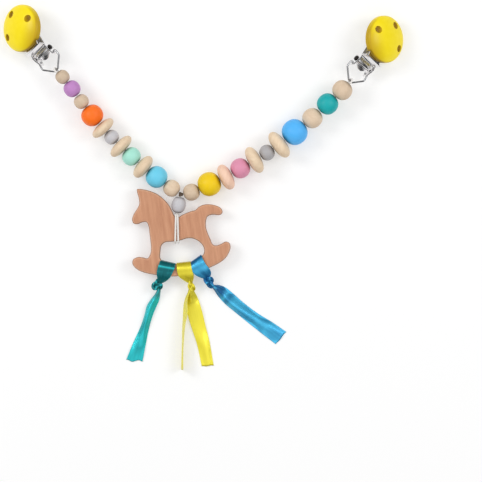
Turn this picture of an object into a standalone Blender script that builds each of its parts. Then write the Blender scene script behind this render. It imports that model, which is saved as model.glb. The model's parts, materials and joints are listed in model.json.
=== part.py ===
"""Pram chain toy: two clips, a chain of beads in two legs, and a rocking horse with ribbons.

Metres, +Z up. The toy lies on its back on a table at Z = 0, with the chain's legs
spread towards +Y. The origin is on the table, under the middle of the whole toy.
"""

import bisect
import math

import bmesh
import bpy
from mathutils import Matrix, Vector

UP = Vector((0, 0, 1))

# Places on the picture, and the size of one of its pixels
PIXEL = 0.00076
ORIGIN_PX = (203.3, 187.5)

# Clearances
FIT = 0.0003
OVERRUN = 0.002

# Wooden disc of a clip
DISC_RADIUS = 0.018
DISC_SIDE = 0.003
DISC_DOME = 0.0065
DISC_BACK_EDGE = 0.0005
VENT_DIAMETER = 0.0052
VENT_TO_RIM = 0.0028
VENT_CIRCLE_RADIUS = DISC_RADIUS - VENT_TO_RIM - VENT_DIAMETER / 2
POCKET_WIDTH = 0.015
POCKET_TO_VENT = 0.0008
POCKET_START = VENT_CIRCLE_RADIUS - VENT_DIAMETER / 2 - POCKET_TO_VENT
POCKET_DEPTH = 0.002

# Steel base plate, with its wall, rolled edge and ears
PLATE_THICKNESS = 0.0009
TONGUE_SIDE_GAP = 0.001
TONGUE_WIDTH = POCKET_WIDTH - 2 * TONGUE_SIDE_GAP
TONGUE_END_GAP = 0.0012
TONGUE_START = POCKET_START - TONGUE_END_GAP
EARS_OUTSIDE = 0.0168
EAR_MARGIN = 0.002
WALL_GAP = 0.0009
WALL_STEP = 0.0002
WALL_WIDTH = EARS_OUTSIDE - 2 * WALL_STEP
WALL_BACK = 0.0046
ROLL_RADIUS = 0.001

# Hinge pin and lever
PIN_DIAMETER = 0.0014
PIN_PROUD = 0.0006
PIN_LENGTH = EARS_OUTSIDE + 2 * PIN_PROUD
PIN_OUT = 0.003
PIN_BACK = 0.0078
LEVER_SIDE_GAP = 0.001
LEVER_WIDTH = EARS_OUTSIDE - 2 * PLATE_THICKNESS - 2 * LEVER_SIDE_GAP
LEVER_THICKNESS = 0.0011
BARREL_RADIUS = 0.0017
JAW_LIP_PLACE = 0.0042
JAW_LIP_LENGTH = 0.003
JAW_TOOTH_HEIGHT = 0.0006
JAW_TEETH = 3
JAW_GAP = 0.0004
TAB_STEP = 0.0007
TAB_WIDTH = LEVER_WIDTH - 2 * TAB_STEP
TAB_SHOULDER = 0.0022
TAB_LENGTH = 0.0052
TAB_HOLE = 0.0024
TAB_HOLE_PLACE = 0.0018

# Grip pad and rivet
PAD_STEP = 0.0007
PAD_WIDTH = TONGUE_WIDTH - 2 * PAD_STEP
PAD_LENGTH = 0.0165
PAD_THICKNESS = 0.0013
PAD_RIBS = 5
PAD_RIB_HEIGHT = 0.0003
RIVET_PLACE = 0.013
RIVET_HEAD_RADIUS = 0.002
RIVET_HEAD_HEIGHT = 0.0007
RIVET_SHANK_RADIUS = 0.0012
RIVET_SHANK_LENGTH = 0.0038

# Wire bail
BAIL_WIRE = 0.0014
BAIL_OUT = 0.0062
BAIL_BACK = 0.0105
BAIL_END_REACH = 0.0007
BAIL_END_INSIDE = EARS_OUTSIDE - 2 * PLATE_THICKNESS - 2 * BAIL_END_REACH
BAIL_BESIDE_EARS = 0.0014
BAIL_LEGS_APART = EARS_OUTSIDE + 2 * BAIL_BESIDE_EARS
BAIL_CORNER_SPREAD = 0.0005
BAIL_CORNERS_APART = BAIL_LEGS_APART + 2 * BAIL_CORNER_SPREAD
BAIL_CORNER_PLACE = 0.005
BAIL_LENGTH = 0.0122
BAIL_NARROW_END = 0.0044
BAIL_EAR_BEND = 0.0011
BAIL_BEND = 0.0018
BAIL_ANGLE = math.radians(14)

# How a clip lies: its face leans outwards, and its steel end is turned to the chain
CLIP_TILT = math.radians(41)
CLIP_TURN = math.radians(147)

# Cord and beads
CORD_DIAMETER = 0.0015
CORD_LOOP_TO_BEAD = 0.0021
BEAD_BORE = 0.003
BEAD_END_FLAT = 0.0008
BEAD_GAP = 0.00035
FLEX_GAP = 0.0007
CORD_END_GAP = FIT
CORD_POINT_SPACING = 0.0035
LIE_SLOPE_SHARE = 0.08
KNOT_RADIUS = 0.002
KNOT_HEIGHT = 0.0078
LEG_START_GAP = 0.0003
SPHERE_POWER = 2.15
LENS_POWER = 2.25

# Each leg's beads from the knot outwards: name, diameter, length and roundness
LEFT_BEADS = [
    ("wood", 0.0132, 0.0121, SPHERE_POWER),
    ("light_blue", 0.0171, 0.0157, SPHERE_POWER),
    ("lens", 0.0200, 0.0093, LENS_POWER),
    ("mint", 0.0147, 0.0130, SPHERE_POWER),
    ("lens", 0.0210, 0.0084, LENS_POWER),
    ("grey", 0.0116, 0.0102, SPHERE_POWER),
    ("lens", 0.0202, 0.0081, LENS_POWER),
    ("orange", 0.0173, 0.0156, SPHERE_POWER),
    ("wood", 0.0117, 0.0103, SPHERE_POWER),
    ("lilac", 0.0130, 0.0122, SPHERE_POWER),
    ("wood", 0.0108, 0.0101, SPHERE_POWER),
]
RIGHT_BEADS = [
    ("wood", 0.0133, 0.0121, SPHERE_POWER),
    ("yellow", 0.0189, 0.0172, SPHERE_POWER),
    ("lens", 0.0210, 0.0098, LENS_POWER),
    ("pink", 0.0157, 0.0143, SPHERE_POWER),
    ("lens", 0.0222, 0.0099, LENS_POWER),
    ("grey", 0.0125, 0.0109, SPHERE_POWER),
    ("lens", 0.0232, 0.0104, LENS_POWER),
    ("blue", 0.0202, 0.0187, SPHERE_POWER),
    ("wood", 0.0157, 0.0147, SPHERE_POWER),
    ("teal", 0.0166, 0.0155, SPHERE_POWER),
    ("wood", 0.0157, 0.0143, SPHERE_POWER),
]
BEADS_ON_STRETCH = [3, 2, 2, 2, 2]

# Where the cord runs on the picture, from the knot to each bail
KNOT_PX = (180.7, 194.3)
LEFT_ROUTE_PX = [
    KNOT_PX,
    (171.4, 188.2),
    (156.3, 176.6),
    (142.3, 166.4),
    (121.2, 146.5),
    (103.4, 128.6),
    (91.8, 114.9),
    (81.7, 102.0),
    (72.1, 88.6),
    (62.0, 76.0),
    (55.5, 69.5),
]
RIGHT_ROUTE_PX = [
    KNOT_PX,
    (191.7, 192.6),
    (208.2, 184.1),
    (225.2, 177.8),
    (239.8, 168.4),
    (254.1, 160.1),
    (279.0, 145.1),
    (295.0, 131.5),
    (313.0, 118.0),
    (328.1, 103.3),
    (343.6, 89.3),
    (350.5, 81.0),
]

# Pendant: grey bead, hitch and the strands round the horse
PENDANT_BEAD = ("grey", 0.0112, 0.0117, SPHERE_POWER)
HITCH_GAP = 0.0010
PENDANT_REACH = KNOT_RADIUS + FIT + PENDANT_BEAD[2] + HITCH_GAP
HITCH_PX = (176.8, 213.7)
HITCH_RADIUS = 0.0015
STRANDS_APART = 0.0019
STRAND_DIAMETER = 0.0014
PENDANT_BORE = STRANDS_APART + STRAND_DIAMETER + 2 * FIT

# Rocking horse, cut from a board
HORSE_THICKNESS = 0.010
HORSE_EDGE = 0.0015
HORSE_OUTLINE_PX = [
    (137.3, 188.0),
    (142.0, 187.6),
    (150.0, 189.4),
    (157.0, 192.4),
    (163.0, 197.0),
    (168.5, 203.0),
    (171.8, 209.0),
    (175.0, 215.0),
    (178.0, 215.6),
    (182.0, 213.4),
    (190.0, 210.0),
    (195.5, 208.4),
    (198.5, 205.5),
    (203.0, 203.3),
    (209.0, 202.7),
    (216.0, 204.0),
    (221.0, 206.7),
    (222.6, 210.8),
    (220.0, 213.4),
    (212.0, 213.1),
    (207.6, 214.8),
    (206.0, 219.0),
    (206.0, 226.0),
    (207.5, 231.0),
    (210.5, 238.0),
    (212.8, 243.0),
    (216.5, 243.9),
    (221.0, 242.4),
    (225.5, 240.0),
    (229.3, 241.3),
    (230.6, 245.5),
    (229.0, 251.0),
    (226.0, 256.0),
    (220.0, 261.0),
    (207.0, 267.2),
    (190.0, 272.8),
    (172.0, 275.0),
    (157.0, 273.6),
    (144.0, 271.0),
    (136.5, 267.5),
    (132.4, 262.5),
    (133.0, 258.0),
    (138.0, 255.5),
    (143.0, 256.0),
    (147.5, 256.8),
    (150.4, 252.0),
    (151.0, 246.0),
    (150.5, 240.0),
    (149.5, 232.0),
    (148.6, 225.0),
    (146.5, 220.6),
    (142.0, 220.8),
    (137.5, 222.6),
    (133.5, 222.0),
    (132.0, 217.5),
    (134.0, 212.0),
    (137.2, 207.0),
    (139.2, 202.5),
    (139.0, 197.0),
    (136.6, 191.5),
]
HORSE_BELLY_PX = [
    (160.3, 257.0),
    (160.3, 250.0),
    (161.3, 244.2),
    (164.5, 241.0),
    (173.0, 240.0),
    (180.0, 239.0),
    (186.0, 237.0),
    (192.0, 236.8),
    (199.0, 240.0),
    (203.6, 245.8),
    (203.8, 252.0),
    (199.0, 256.4),
    (190.0, 260.5),
    (177.0, 262.5),
    (165.0, 261.0),
]

# Ribbons: a band round the rocker, gathered into a knot, and the tails below
RIBBON_THICKNESS = 0.0005
BAND_WIDTH = 0.0104
BAND_CORNER = 0.0018
RIBBON_KNOT_RADIUS = 0.003
GATHER_END_WIDTH = 0.0036
GATHER_END_DEPTH = 0.003
BAND_TOPS_PX = {"teal": (167.6, 261.9), "yellow": (183.0, 262.3), "blue": (197.6, 257.0)}
BAND_SLOPES = {"teal": math.radians(-12), "yellow": math.radians(4), "blue": math.radians(26)}
RIBBON_KNOTS_PX = {"teal": (157.8, 283.6), "yellow": (190.3, 285.6), "blue": (208.6, 280.8)}

# Tails: where each one lies, and at each of its stations the share of the knot's height.
# The shares of its width that it is spread over start with the one at the knot.
TEAL_TAIL_WIDTH = 0.0124
YELLOW_TAIL_WIDTH = 0.0110
BLUE_TAIL_WIDTH = 0.0136
THIN_TAIL_ROLL = math.radians(84)
TAIL_FOLDS = 4
TAIL_LIE_HEIGHT = 0.0006
TAIL_STATIONS_PX = {
    "teal_tail": [
        (154.8, 297.0), (151.2, 306.0), (147.5, 318.0), (141.8, 333.0), (137.0, 347.0), (133.8, 359.8),
    ],
    "yellow_tail_wide": [(194.6, 299.0), (196.0, 309.0), (198.8, 324.0), (202.8, 341.0), (207.4, 364.8)],
    "yellow_tail_thin": [(184.6, 300.0), (183.5, 320.0), (182.5, 345.0), (182.0, 368.5)],
    "blue_tail": [(221.0, 291.0), (230.0, 298.4), (247.0, 312.6), (262.6, 324.6), (281.2, 336.8)],
}
TAIL_HEIGHT_SHARES = {
    "teal_tail": [0.45, 0.22, 0.10, 0.12, 0.08, 0.03],
    "yellow_tail_wide": [0.50, 0.20, 0.10, 0.14, 0.03],
    "yellow_tail_thin": [0, 0, 0, 0],
    "blue_tail": [0.48, 0.20, 0.08, 0.14, 0.03],
}
TAIL_SPREAD_SHARES = {
    "teal_tail": [0.30, 0.52, 0.55, 0.54, 0.66, 0.86, 0.98],
    "yellow_tail_wide": [0.26, 0.42, 0.62, 0.82, 0.86, 0.88],
    "yellow_tail_thin": [1, 1, 1, 1, 1],
    "blue_tail": [0.24, 0.52, 0.66, 0.74, 0.84, 0.90],
}

# Points, sides and steps
ROUTE_STEPS = 12
OUTLINE_STEPS = 2
TAIL_STEPS = 2
TURN_STEPS = 14
BEAD_ARC_POINTS = 7
DISC_STEPS = 32
DOME_POINTS = 6
HOLE_SIDES = 12
BEND_STEPS = 3

# Looks: base colour, roughness and metallic value
LOOKS = {
    "clip_yellow": ((0.93, 0.75, 0.03), 0.45, 0),
    "steel": ((0.62, 0.62, 0.63), 0.28, 1),
    "pad_plastic": ((0.85, 0.85, 0.83), 0.5, 0),
    "cord_white": ((0.86, 0.84, 0.78), 0.8, 0),
    "wood": ((0.75, 0.60, 0.44), 0.6, 0),
    "lens": ((0.76, 0.62, 0.47), 0.6, 0),
    "horse_wood": ((0.60, 0.33, 0.18), 0.6, 0),
    "grey": ((0.57, 0.56, 0.62), 0.5, 0),
    "lilac": ((0.49, 0.24, 0.51), 0.5, 0),
    "orange": ((0.98, 0.16, 0.02), 0.5, 0),
    "mint": ((0.44, 0.78, 0.68), 0.5, 0),
    "light_blue": ((0.18, 0.61, 0.84), 0.5, 0),
    "yellow": ((0.88, 0.64, 0.02), 0.5, 0),
    "pink": ((0.79, 0.34, 0.48), 0.5, 0),
    "blue": ((0.10, 0.48, 0.95), 0.5, 0),
    "teal": ((0.03, 0.42, 0.46), 0.5, 0),
    "teal_ribbon": ((0.01, 0.36, 0.38), 0.35, 0),
    "yellow_ribbon": ((0.83, 0.75, 0.05), 0.35, 0),
    "blue_ribbon": ((0.05, 0.32, 0.62), 0.35, 0),
}


# Scene, collections and materials


def clear_scene():
    for thing in list(bpy.data.objects):
        bpy.data.objects.remove(thing, do_unlink=True)


def new_collection(name):
    collection = bpy.data.collections.new(name)
    bpy.context.scene.collection.children.link(collection)
    return collection


def material(look):
    """The material of a look, made once."""
    found = bpy.data.materials.get(look)
    if found:
        return found
    colour, roughness, metallic = LOOKS[look]
    made = bpy.data.materials.new(look)
    made.use_nodes = True
    shader = made.node_tree.nodes["Principled BSDF"]
    shader.inputs["Base Color"].default_value = (*colour, 1)
    shader.inputs["Roughness"].default_value = roughness
    shader.inputs["Metallic"].default_value = metallic
    return made


def add(name, data, parent=None, matrix=None, look=None):
    """Puts an object in the scene. Without a look it is a helper, which isn't part of the toy."""
    thing = bpy.data.objects.new(name, data)
    if look:
        TOY.objects.link(thing)
        data.materials.append(material(look))
    else:
        CUTTERS.objects.link(thing)
        thing.hide_render = True
        thing.display_type = "WIRE"
    thing.parent = parent
    thing.matrix_basis = matrix or Matrix.Identity(4)
    return thing


def add_empty(name, matrix, parent=None):
    empty = bpy.data.objects.new(name, None)
    TOY.objects.link(empty)
    empty.empty_display_size = DISC_RADIUS
    empty.parent = parent
    empty.matrix_basis = matrix
    return empty


# Places and frames


def at_px(place_px, height=0):
    """The point over a place on the picture."""
    across = (place_px[0] - ORIGIN_PX[0]) * PIXEL
    upward = (ORIGIN_PX[1] - place_px[1]) * PIXEL
    return Vector((across, upward, height))


def frame(origin, z_axis, x_axis):
    """A frame at a point, with its Z on one axis and its X as near the other as can be."""
    z_axis = z_axis.normalized()
    x_axis = (x_axis - z_axis * x_axis.dot(z_axis)).normalized()
    turn = Matrix((x_axis, z_axis.cross(x_axis), z_axis)).transposed()
    return Matrix.Translation(origin) @ turn.to_4x4()


def axes(x_axis, y_axis, z_axis, origin=(0, 0, 0)):
    """A matrix that takes X, Y and Z to the three axes."""
    turn = Matrix((Vector(x_axis), Vector(y_axis), Vector(z_axis))).transposed()
    return Matrix.Translation(origin) @ turn.to_4x4()


def catmull(p0, p1, p2, p3, share):
    """The point at a share of the way from p1 to p2, on a curve that passes smoothly through all four."""
    t1 = (p1 - p0).length ** 0.5
    t2 = t1 + (p2 - p1).length ** 0.5
    t3 = t2 + (p3 - p2).length ** 0.5
    t = t1 + (t2 - t1) * share
    a1 = p0.lerp(p1, t / t1)
    a2 = p1.lerp(p2, (t - t1) / (t2 - t1))
    a3 = p2.lerp(p3, (t - t2) / (t3 - t2))
    b1 = a1.lerp(a2, t / t2)
    b2 = a2.lerp(a3, (t - t1) / (t3 - t1))
    return b1.lerp(b2, (t - t1) / (t2 - t1))


def smooth(points, steps, closed=False):
    """Points of a smooth curve through the given ones, with some steps in each span."""
    if closed:
        ring = [points[-1], *points, points[0], points[1]]
    else:
        ring = [2 * points[0] - points[1], *points, 2 * points[-1] - points[-2]]
    curve = []
    for index in range(len(ring) - 3):
        for step in range(steps):
            curve.append(catmull(*ring[index:index + 4], step / steps))
    return curve if closed else [*curve, points[-1]]


class Route:
    """A smooth curve through points, read by the distance along it."""

    def __init__(self, points):
        self.points = smooth(points, ROUTE_STEPS)
        self.distances = [0.0]
        for near, far in zip(self.points, self.points[1:]):
            self.distances.append(self.distances[-1] + (far - near).length)

    def at(self, distance):
        index = bisect.bisect(self.distances, distance)
        index = min(max(index, 1), len(self.distances) - 1)
        start, end = self.distances[index - 1:index + 1]
        return self.points[index - 1].lerp(self.points[index], (distance - start) / (end - start))

    def along(self, distance):
        reach = CORD_DIAMETER
        return (self.at(distance + reach) - self.at(distance - reach)).normalized()

    def frame(self, distance):
        """A frame on the route, with Z along it and X level."""
        along = self.along(distance)
        return frame(self.at(distance), along, along.cross(UP))

    def chord_frame(self, distance, length):
        """A frame for a straight piece on the route, which shares out how far the route bows from it."""
        start, end = self.at(distance - length / 2), self.at(distance + length / 2)
        middle = (start + end).lerp(2 * self.at(distance), 0.5) / 2
        return frame(middle, end - start, (end - start).cross(UP))

    def of_point(self, index):
        """The distance of one of the points that the route was made from."""
        return self.distances[index * ROUTE_STEPS]


# Shapes


def mesh_from(name, build):
    shape = bmesh.new()
    build(shape)
    mesh = bpy.data.meshes.new(name)
    shape.to_mesh(mesh)
    shape.free()
    return mesh


def box_mesh(name, low, high):
    """A box between two corners."""
    low, high = Vector(low), Vector(high)
    size = Matrix.Diagonal((*(high - low), 1))

    def build(shape):
        bmesh.ops.create_cube(shape, size=1, matrix=Matrix.Translation((low + high) / 2) @ size)

    return mesh_from(name, build)


def rod_mesh(name, radius, length, matrix=None, sides=HOLE_SIDES):
    """A round rod along Z, centred."""

    def build(shape):
        bmesh.ops.create_cone(
            shape,
            cap_ends=True,
            segments=sides,
            radius1=radius,
            radius2=radius,
            depth=length,
            matrix=matrix or Matrix.Identity(4),
        )

    return mesh_from(name, build)


def ball_mesh(name, radius, sides, rings):

    def build(shape):
        bmesh.ops.create_uvsphere(shape, u_segments=sides, v_segments=rings, radius=radius)

    return mesh_from(name, build)


def turned_mesh(name, profile, closed):
    """The edges of a half section, as radius and height, for a Screw modifier to turn round Z."""
    shape = bmesh.new()
    verts = [shape.verts.new((radius, 0, height)) for radius, height in profile]
    for near, far in zip(verts, verts[1:]):
        shape.edges.new((near, far))
    if closed:
        shape.edges.new((verts[-1], verts[0]))
    mesh = bpy.data.meshes.new(name)
    shape.to_mesh(mesh)
    shape.free()
    return mesh


def turn(thing, steps):
    screw = thing.modifiers.new("turn", "SCREW")
    screw.steps = steps
    screw.render_steps = steps
    screw.use_merge_vertices = True
    screw.merge_threshold = 0.000001
    screw.use_smooth_shade = True
    return thing


def tube_curve(name, points, diameter, closed=False):
    curve = bpy.data.curves.new(name, "CURVE")
    curve.dimensions = "3D"
    curve.bevel_depth = diameter / 2
    curve.bevel_resolution = 2
    curve.use_fill_caps = True
    spline = curve.splines.new("POLY")
    spline.points.add(len(points[1:]))
    for point, place in zip(spline.points, points):
        point.co = (*place, 1)
    spline.use_cyclic_u = closed
    return curve


def outline_curve(name, outlines, thickness, edge=0):
    """A flat shape of the given thickness round Z = 0, with its edges rounded inside its outline."""
    curve = bpy.data.curves.new(name, "CURVE")
    curve.dimensions = "2D"
    curve.fill_mode = "BOTH"
    curve.extrude = thickness / 2 - edge
    curve.bevel_depth = edge
    curve.bevel_resolution = 1
    curve.offset = -edge
    for outline in outlines:
        spline = curve.splines.new("POLY")
        spline.points.add(len(outline[1:]))
        for point, place in zip(spline.points, outline):
            point.co = (place[0], place[1], 0, 1)
        spline.use_cyclic_u = True
    return curve


def mesh_of(thing):
    """Takes a curve object's place with a closed mesh of the same shape."""
    bpy.context.view_layer.update()
    graph = bpy.context.evaluated_depsgraph_get()
    mesh = bpy.data.meshes.new_from_object(thing.evaluated_get(graph))
    shape = bmesh.new()
    shape.from_mesh(mesh)
    bmesh.ops.remove_doubles(shape, verts=shape.verts, dist=0.000001)
    bmesh.ops.recalc_face_normals(shape, faces=shape.faces)
    shape.to_mesh(mesh)
    shape.free()
    name = thing.name
    solid = bpy.data.objects.new(name, mesh)
    thing.users_collection[0].objects.link(solid)
    solid.hide_render = thing.hide_render
    solid.display_type = thing.display_type
    solid.parent = thing.parent
    solid.matrix_basis = thing.matrix_basis.copy()
    bpy.data.objects.remove(thing, do_unlink=True)
    solid.name = name
    return solid


def combine(thing, helper, operation):
    boolean = thing.modifiers.new(helper.name, "BOOLEAN")
    boolean.operation = operation
    boolean.object = helper
    boolean.solver = "EXACT"


def cut(thing, helper):
    combine(thing, helper, "DIFFERENCE")


def join(thing, helper):
    combine(thing, helper, "UNION")


def rounded_corners(points, radii):
    """The points with each corner that has a radius replaced by an arc that touches both its sides."""
    count = len(points)
    rounded = []
    for index, (corner, radius) in enumerate(zip(points, radii)):
        if not radius:
            rounded.append(corner)
            continue
        back = (points[index - 1] - corner).normalized()
        on = (points[(index + 1) % count] - corner).normalized()
        half = back.angle(on) / 2
        centre = corner + (back + on).normalized() * (radius / math.sin(half))
        start = (corner + back * (radius / math.tan(half)) - centre).normalized()
        end = (corner + on * (radius / math.tan(half)) - centre).normalized()
        for step in range(BEND_STEPS + 1):
            rounded.append(centre + start.slerp(end, step / BEND_STEPS) * radius)
    return rounded


def rounded_rectangle(half_width, half_height, radius):
    corners = [
        Vector((half_width, -half_height, 0)),
        Vector((half_width, half_height, 0)),
        Vector((-half_width, half_height, 0)),
        Vector((-half_width, -half_height, 0)),
    ]
    return rounded_corners(corners, [radius] * len(corners))


# Clip

# In a clip's own frame X runs across it, Y from the disc's centre to the bail, Z out of its face
TO_SIDE_VIEW = axes((0, 1, 0), (0, 0, 1), (1, 0, 0))
WALL_NEAR = DISC_RADIUS + WALL_GAP
WALL_FAR = WALL_NEAR + PLATE_THICKNESS
TONGUE_BACK = POCKET_DEPTH - FIT - PLATE_THICKNESS
PAD_BACK = TONGUE_BACK - FIT - PAD_THICKNESS
PIN_PLACE = Vector((0, WALL_FAR + PIN_OUT, -PIN_BACK))
BAIL_PLACE = Vector((0, WALL_FAR + BAIL_OUT, -BAIL_BACK))
BAIL_DIRECTION = Vector((0, math.cos(BAIL_ANGLE), -math.sin(BAIL_ANGLE)))
BAIL_END = BAIL_PLACE + BAIL_DIRECTION * BAIL_LENGTH


def clip_turn(side):
    """How a clip is turned, with side -1 for the left one and 1 for the right one."""
    lean = Matrix.Rotation(side * CLIP_TILT, 4, "Y")
    return lean @ Matrix.Rotation(side * CLIP_TURN, 4, "Z")


def bail_end_height():
    """How high the bail's end is when the disc's rim lies on the table."""
    disc_height = (DISC_RADIUS - DISC_BACK_EDGE) * math.sin(CLIP_TILT)
    return disc_height + (clip_turn(1) @ BAIL_END).z


def make_disc(name, clip):
    dome = []
    for step in range(DOME_POINTS + 1):
        angle = math.radians(90) * step / DOME_POINTS
        dome.append((DISC_RADIUS * math.sin(angle), DISC_SIDE + DISC_DOME * math.cos(angle)))
    back = [(DISC_RADIUS, DISC_BACK_EDGE), (DISC_RADIUS - DISC_BACK_EDGE, 0), (0, 0)]
    mesh = turned_mesh(name, dome + back, closed=False)
    disc = turn(add(name, mesh, clip, look="clip_yellow"), DISC_STEPS)
    height = DISC_SIDE + DISC_DOME
    vents = [(-VENT_CIRCLE_RADIUS, 0), (VENT_CIRCLE_RADIUS, 0), (0, -VENT_CIRCLE_RADIUS)]
    for number, (across, along) in enumerate(vents, 1):
        place = Matrix.Translation((across, along, height / 2))
        rod = rod_mesh(f"{name}_vent_{number}", VENT_DIAMETER / 2, height + 2 * OVERRUN, sides=16)
        cut(disc, add(rod.name, rod, clip, place))
    low = (-POCKET_WIDTH / 2, -POCKET_START, -OVERRUN)
    high = (POCKET_WIDTH / 2, DISC_RADIUS + OVERRUN, POCKET_DEPTH)
    pocket = box_mesh(f"{name}_pocket", low, high)
    cut(disc, add(pocket.name, pocket, clip))
    rivet_end = TONGUE_BACK - FIT + RIVET_SHANK_LENGTH + FIT
    place = Matrix.Translation((0, RIVET_PLACE, rivet_end / 2))
    bore = rod_mesh(f"{name}_rivet_bore", RIVET_SHANK_RADIUS + FIT, rivet_end)
    cut(disc, add(bore.name, bore, clip, place))


def make_base_plate(name, clip):
    low = (-TONGUE_WIDTH / 2, -TONGUE_START, TONGUE_BACK)
    high = (TONGUE_WIDTH / 2, WALL_FAR, TONGUE_BACK + PLATE_THICKNESS)
    plate = add(name, box_mesh(name, low, high), clip, look="steel")
    low = (-WALL_WIDTH / 2, WALL_NEAR, -WALL_BACK)
    high = (WALL_WIDTH / 2, WALL_FAR, TONGUE_BACK + PLATE_THICKNESS)
    wall = box_mesh(f"{name}_wall", low, high)
    join(plate, add(wall.name, wall, clip))
    sideways = axes((0, 1, 0), (0, 0, 1), (1, 0, 0), (0, WALL_FAR, -WALL_BACK))
    roll = rod_mesh(f"{name}_roll", ROLL_RADIUS, WALL_WIDTH)
    join(plate, add(roll.name, roll, clip, sideways))
    middle = (WALL_NEAR + WALL_FAR) / 2
    far = BAIL_PLACE.y + EAR_MARGIN
    ear_outline = [
        (middle, -WALL_BACK + ROLL_RADIUS),
        (middle, PIN_PLACE.z - EAR_MARGIN),
        (BAIL_PLACE.y - EAR_MARGIN, BAIL_PLACE.z - EAR_MARGIN),
        (far, BAIL_PLACE.z - EAR_MARGIN),
        (far, BAIL_PLACE.z + EAR_MARGIN),
        (PIN_PLACE.y + EAR_MARGIN, PIN_PLACE.z + EAR_MARGIN),
        (PIN_PLACE.y, -WALL_BACK + ROLL_RADIUS),
    ]
    for side, label in ((-1, "a"), (1, "b")):
        across = side * (EARS_OUTSIDE - PLATE_THICKNESS) / 2
        shape = outline_curve(f"{name}_ear_{label}", [ear_outline], PLATE_THICKNESS)
        ear = add(shape.name, shape, clip, Matrix.Translation((across, 0, 0)) @ TO_SIDE_VIEW)
        join(plate, mesh_of(ear))
    holes = (
        ("pin_hole", PIN_PLACE, PIN_DIAMETER),
        ("bail_hole", BAIL_PLACE, BAIL_WIRE),
    )
    for label, place, diameter in holes:
        rod = rod_mesh(f"{name}_{label}", diameter / 2 + FIT, EARS_OUTSIDE + 2 * OVERRUN)
        cut(plate, add(rod.name, rod, clip, Matrix.Translation(place) @ TO_SIDE_VIEW))
    rod = rod_mesh(f"{name}_rivet_hole", RIVET_SHANK_RADIUS + FIT, PLATE_THICKNESS + 2 * OVERRUN)
    cut(plate, add(rod.name, rod, clip, Matrix.Translation((0, RIVET_PLACE, TONGUE_BACK))))


def make_grip_pad(name, clip):
    """A ribbed pad on the back of the tongue, as a side view across the clip."""
    near = -POCKET_START + FIT
    front = TONGUE_BACK - FIT
    outline = [(near, front), (near, PAD_BACK)]
    for rib in range(PAD_RIBS):
        for share, depth in ((0.25, 0), (0.4, PAD_RIB_HEIGHT), (0.6, PAD_RIB_HEIGHT), (0.75, 0)):
            outline.append((near + PAD_LENGTH * (rib + share) / PAD_RIBS, PAD_BACK + depth))
    outline += [(near + PAD_LENGTH, PAD_BACK), (near + PAD_LENGTH, front)]
    shape = outline_curve(name, [outline], PAD_WIDTH)
    add(name, shape, clip, TO_SIDE_VIEW, "pad_plastic")


def make_rivet(name, clip):
    head_front = TONGUE_BACK - FIT
    shank_end = head_front + RIVET_SHANK_LENGTH
    profile = [
        (0, shank_end),
        (RIVET_SHANK_RADIUS, shank_end),
        (RIVET_SHANK_RADIUS, head_front),
        (RIVET_HEAD_RADIUS, head_front),
        (RIVET_HEAD_RADIUS * 0.8, head_front - RIVET_HEAD_HEIGHT),
        (0, head_front - RIVET_HEAD_HEIGHT),
    ]
    place = Matrix.Translation((0, RIVET_PLACE, 0))
    rivet = add(name, turned_mesh(name, profile, closed=False), clip, place, "steel")
    turn(rivet, HOLE_SIDES)


def make_hinge_pin(name, clip):
    pin = rod_mesh(name, PIN_DIAMETER / 2, PIN_LENGTH)
    add(name, pin, clip, Matrix.Translation(PIN_PLACE) @ TO_SIDE_VIEW, "steel")


def make_lever(name, clip):
    """A jaw arm behind the disc, a barrel on the pin, and a pointed tab for the thumb."""
    at_pin = Matrix.Translation(PIN_PLACE)
    lip_top = PAD_BACK - JAW_GAP - PIN_PLACE.z
    lip_end = -JAW_LIP_PLACE - JAW_LIP_LENGTH - PIN_PLACE.y
    lip_start = -JAW_LIP_PLACE - PIN_PLACE.y
    arm_end = lip_top - JAW_TOOTH_HEIGHT - LEVER_THICKNESS
    outline = [
        (0, -LEVER_THICKNESS / 2),
        (lip_end, arm_end - LEVER_THICKNESS),
        (lip_end, lip_top - JAW_TOOTH_HEIGHT),
    ]
    for tooth in range(JAW_TEETH):
        for share, height in ((0.3, lip_top), (1, lip_top - JAW_TOOTH_HEIGHT)):
            outline.append((lip_end + JAW_LIP_LENGTH * (tooth + share) / JAW_TEETH, height))
    outline += [(lip_start, arm_end), (0, LEVER_THICKNESS / 2)]
    lever = add(name, outline_curve(name, [outline], LEVER_WIDTH), clip, at_pin @ TO_SIDE_VIEW, "steel")
    lever = mesh_of(lever)
    barrel = rod_mesh(f"{name}_barrel", BARREL_RADIUS, LEVER_WIDTH)
    join(lever, add(barrel.name, barrel, clip, at_pin @ TO_SIDE_VIEW))
    half = TAB_WIDTH / 2
    tab_outline = [
        (-half, -BARREL_RADIUS / 2),
        (half, -BARREL_RADIUS / 2),
        (half, TAB_SHOULDER),
        (half / 5, TAB_LENGTH),
        (-half / 5, TAB_LENGTH),
        (-half, TAB_SHOULDER),
    ]
    tab_place = at_pin @ Matrix.Translation((0, 0, -BARREL_RADIUS))
    tab = add(f"{name}_tab", outline_curve(f"{name}_tab", [tab_outline], LEVER_THICKNESS), clip, tab_place)
    join(lever, mesh_of(tab))
    bore = rod_mesh(f"{name}_bore", PIN_DIAMETER / 2 + FIT, LEVER_WIDTH + 2 * OVERRUN)
    cut(lever, add(bore.name, bore, clip, at_pin @ TO_SIDE_VIEW))
    hole_top = -PIN_DIAMETER / 2 - 2 * FIT
    low = (-TAB_HOLE / 2, TAB_HOLE_PLACE - TAB_HOLE / 2, -BARREL_RADIUS - OVERRUN)
    high = (TAB_HOLE / 2, TAB_HOLE_PLACE + TAB_HOLE / 2, hole_top)
    hole = box_mesh(f"{name}_tab_hole", low, high)
    cut(lever, add(hole.name, hole, clip, at_pin))


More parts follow.
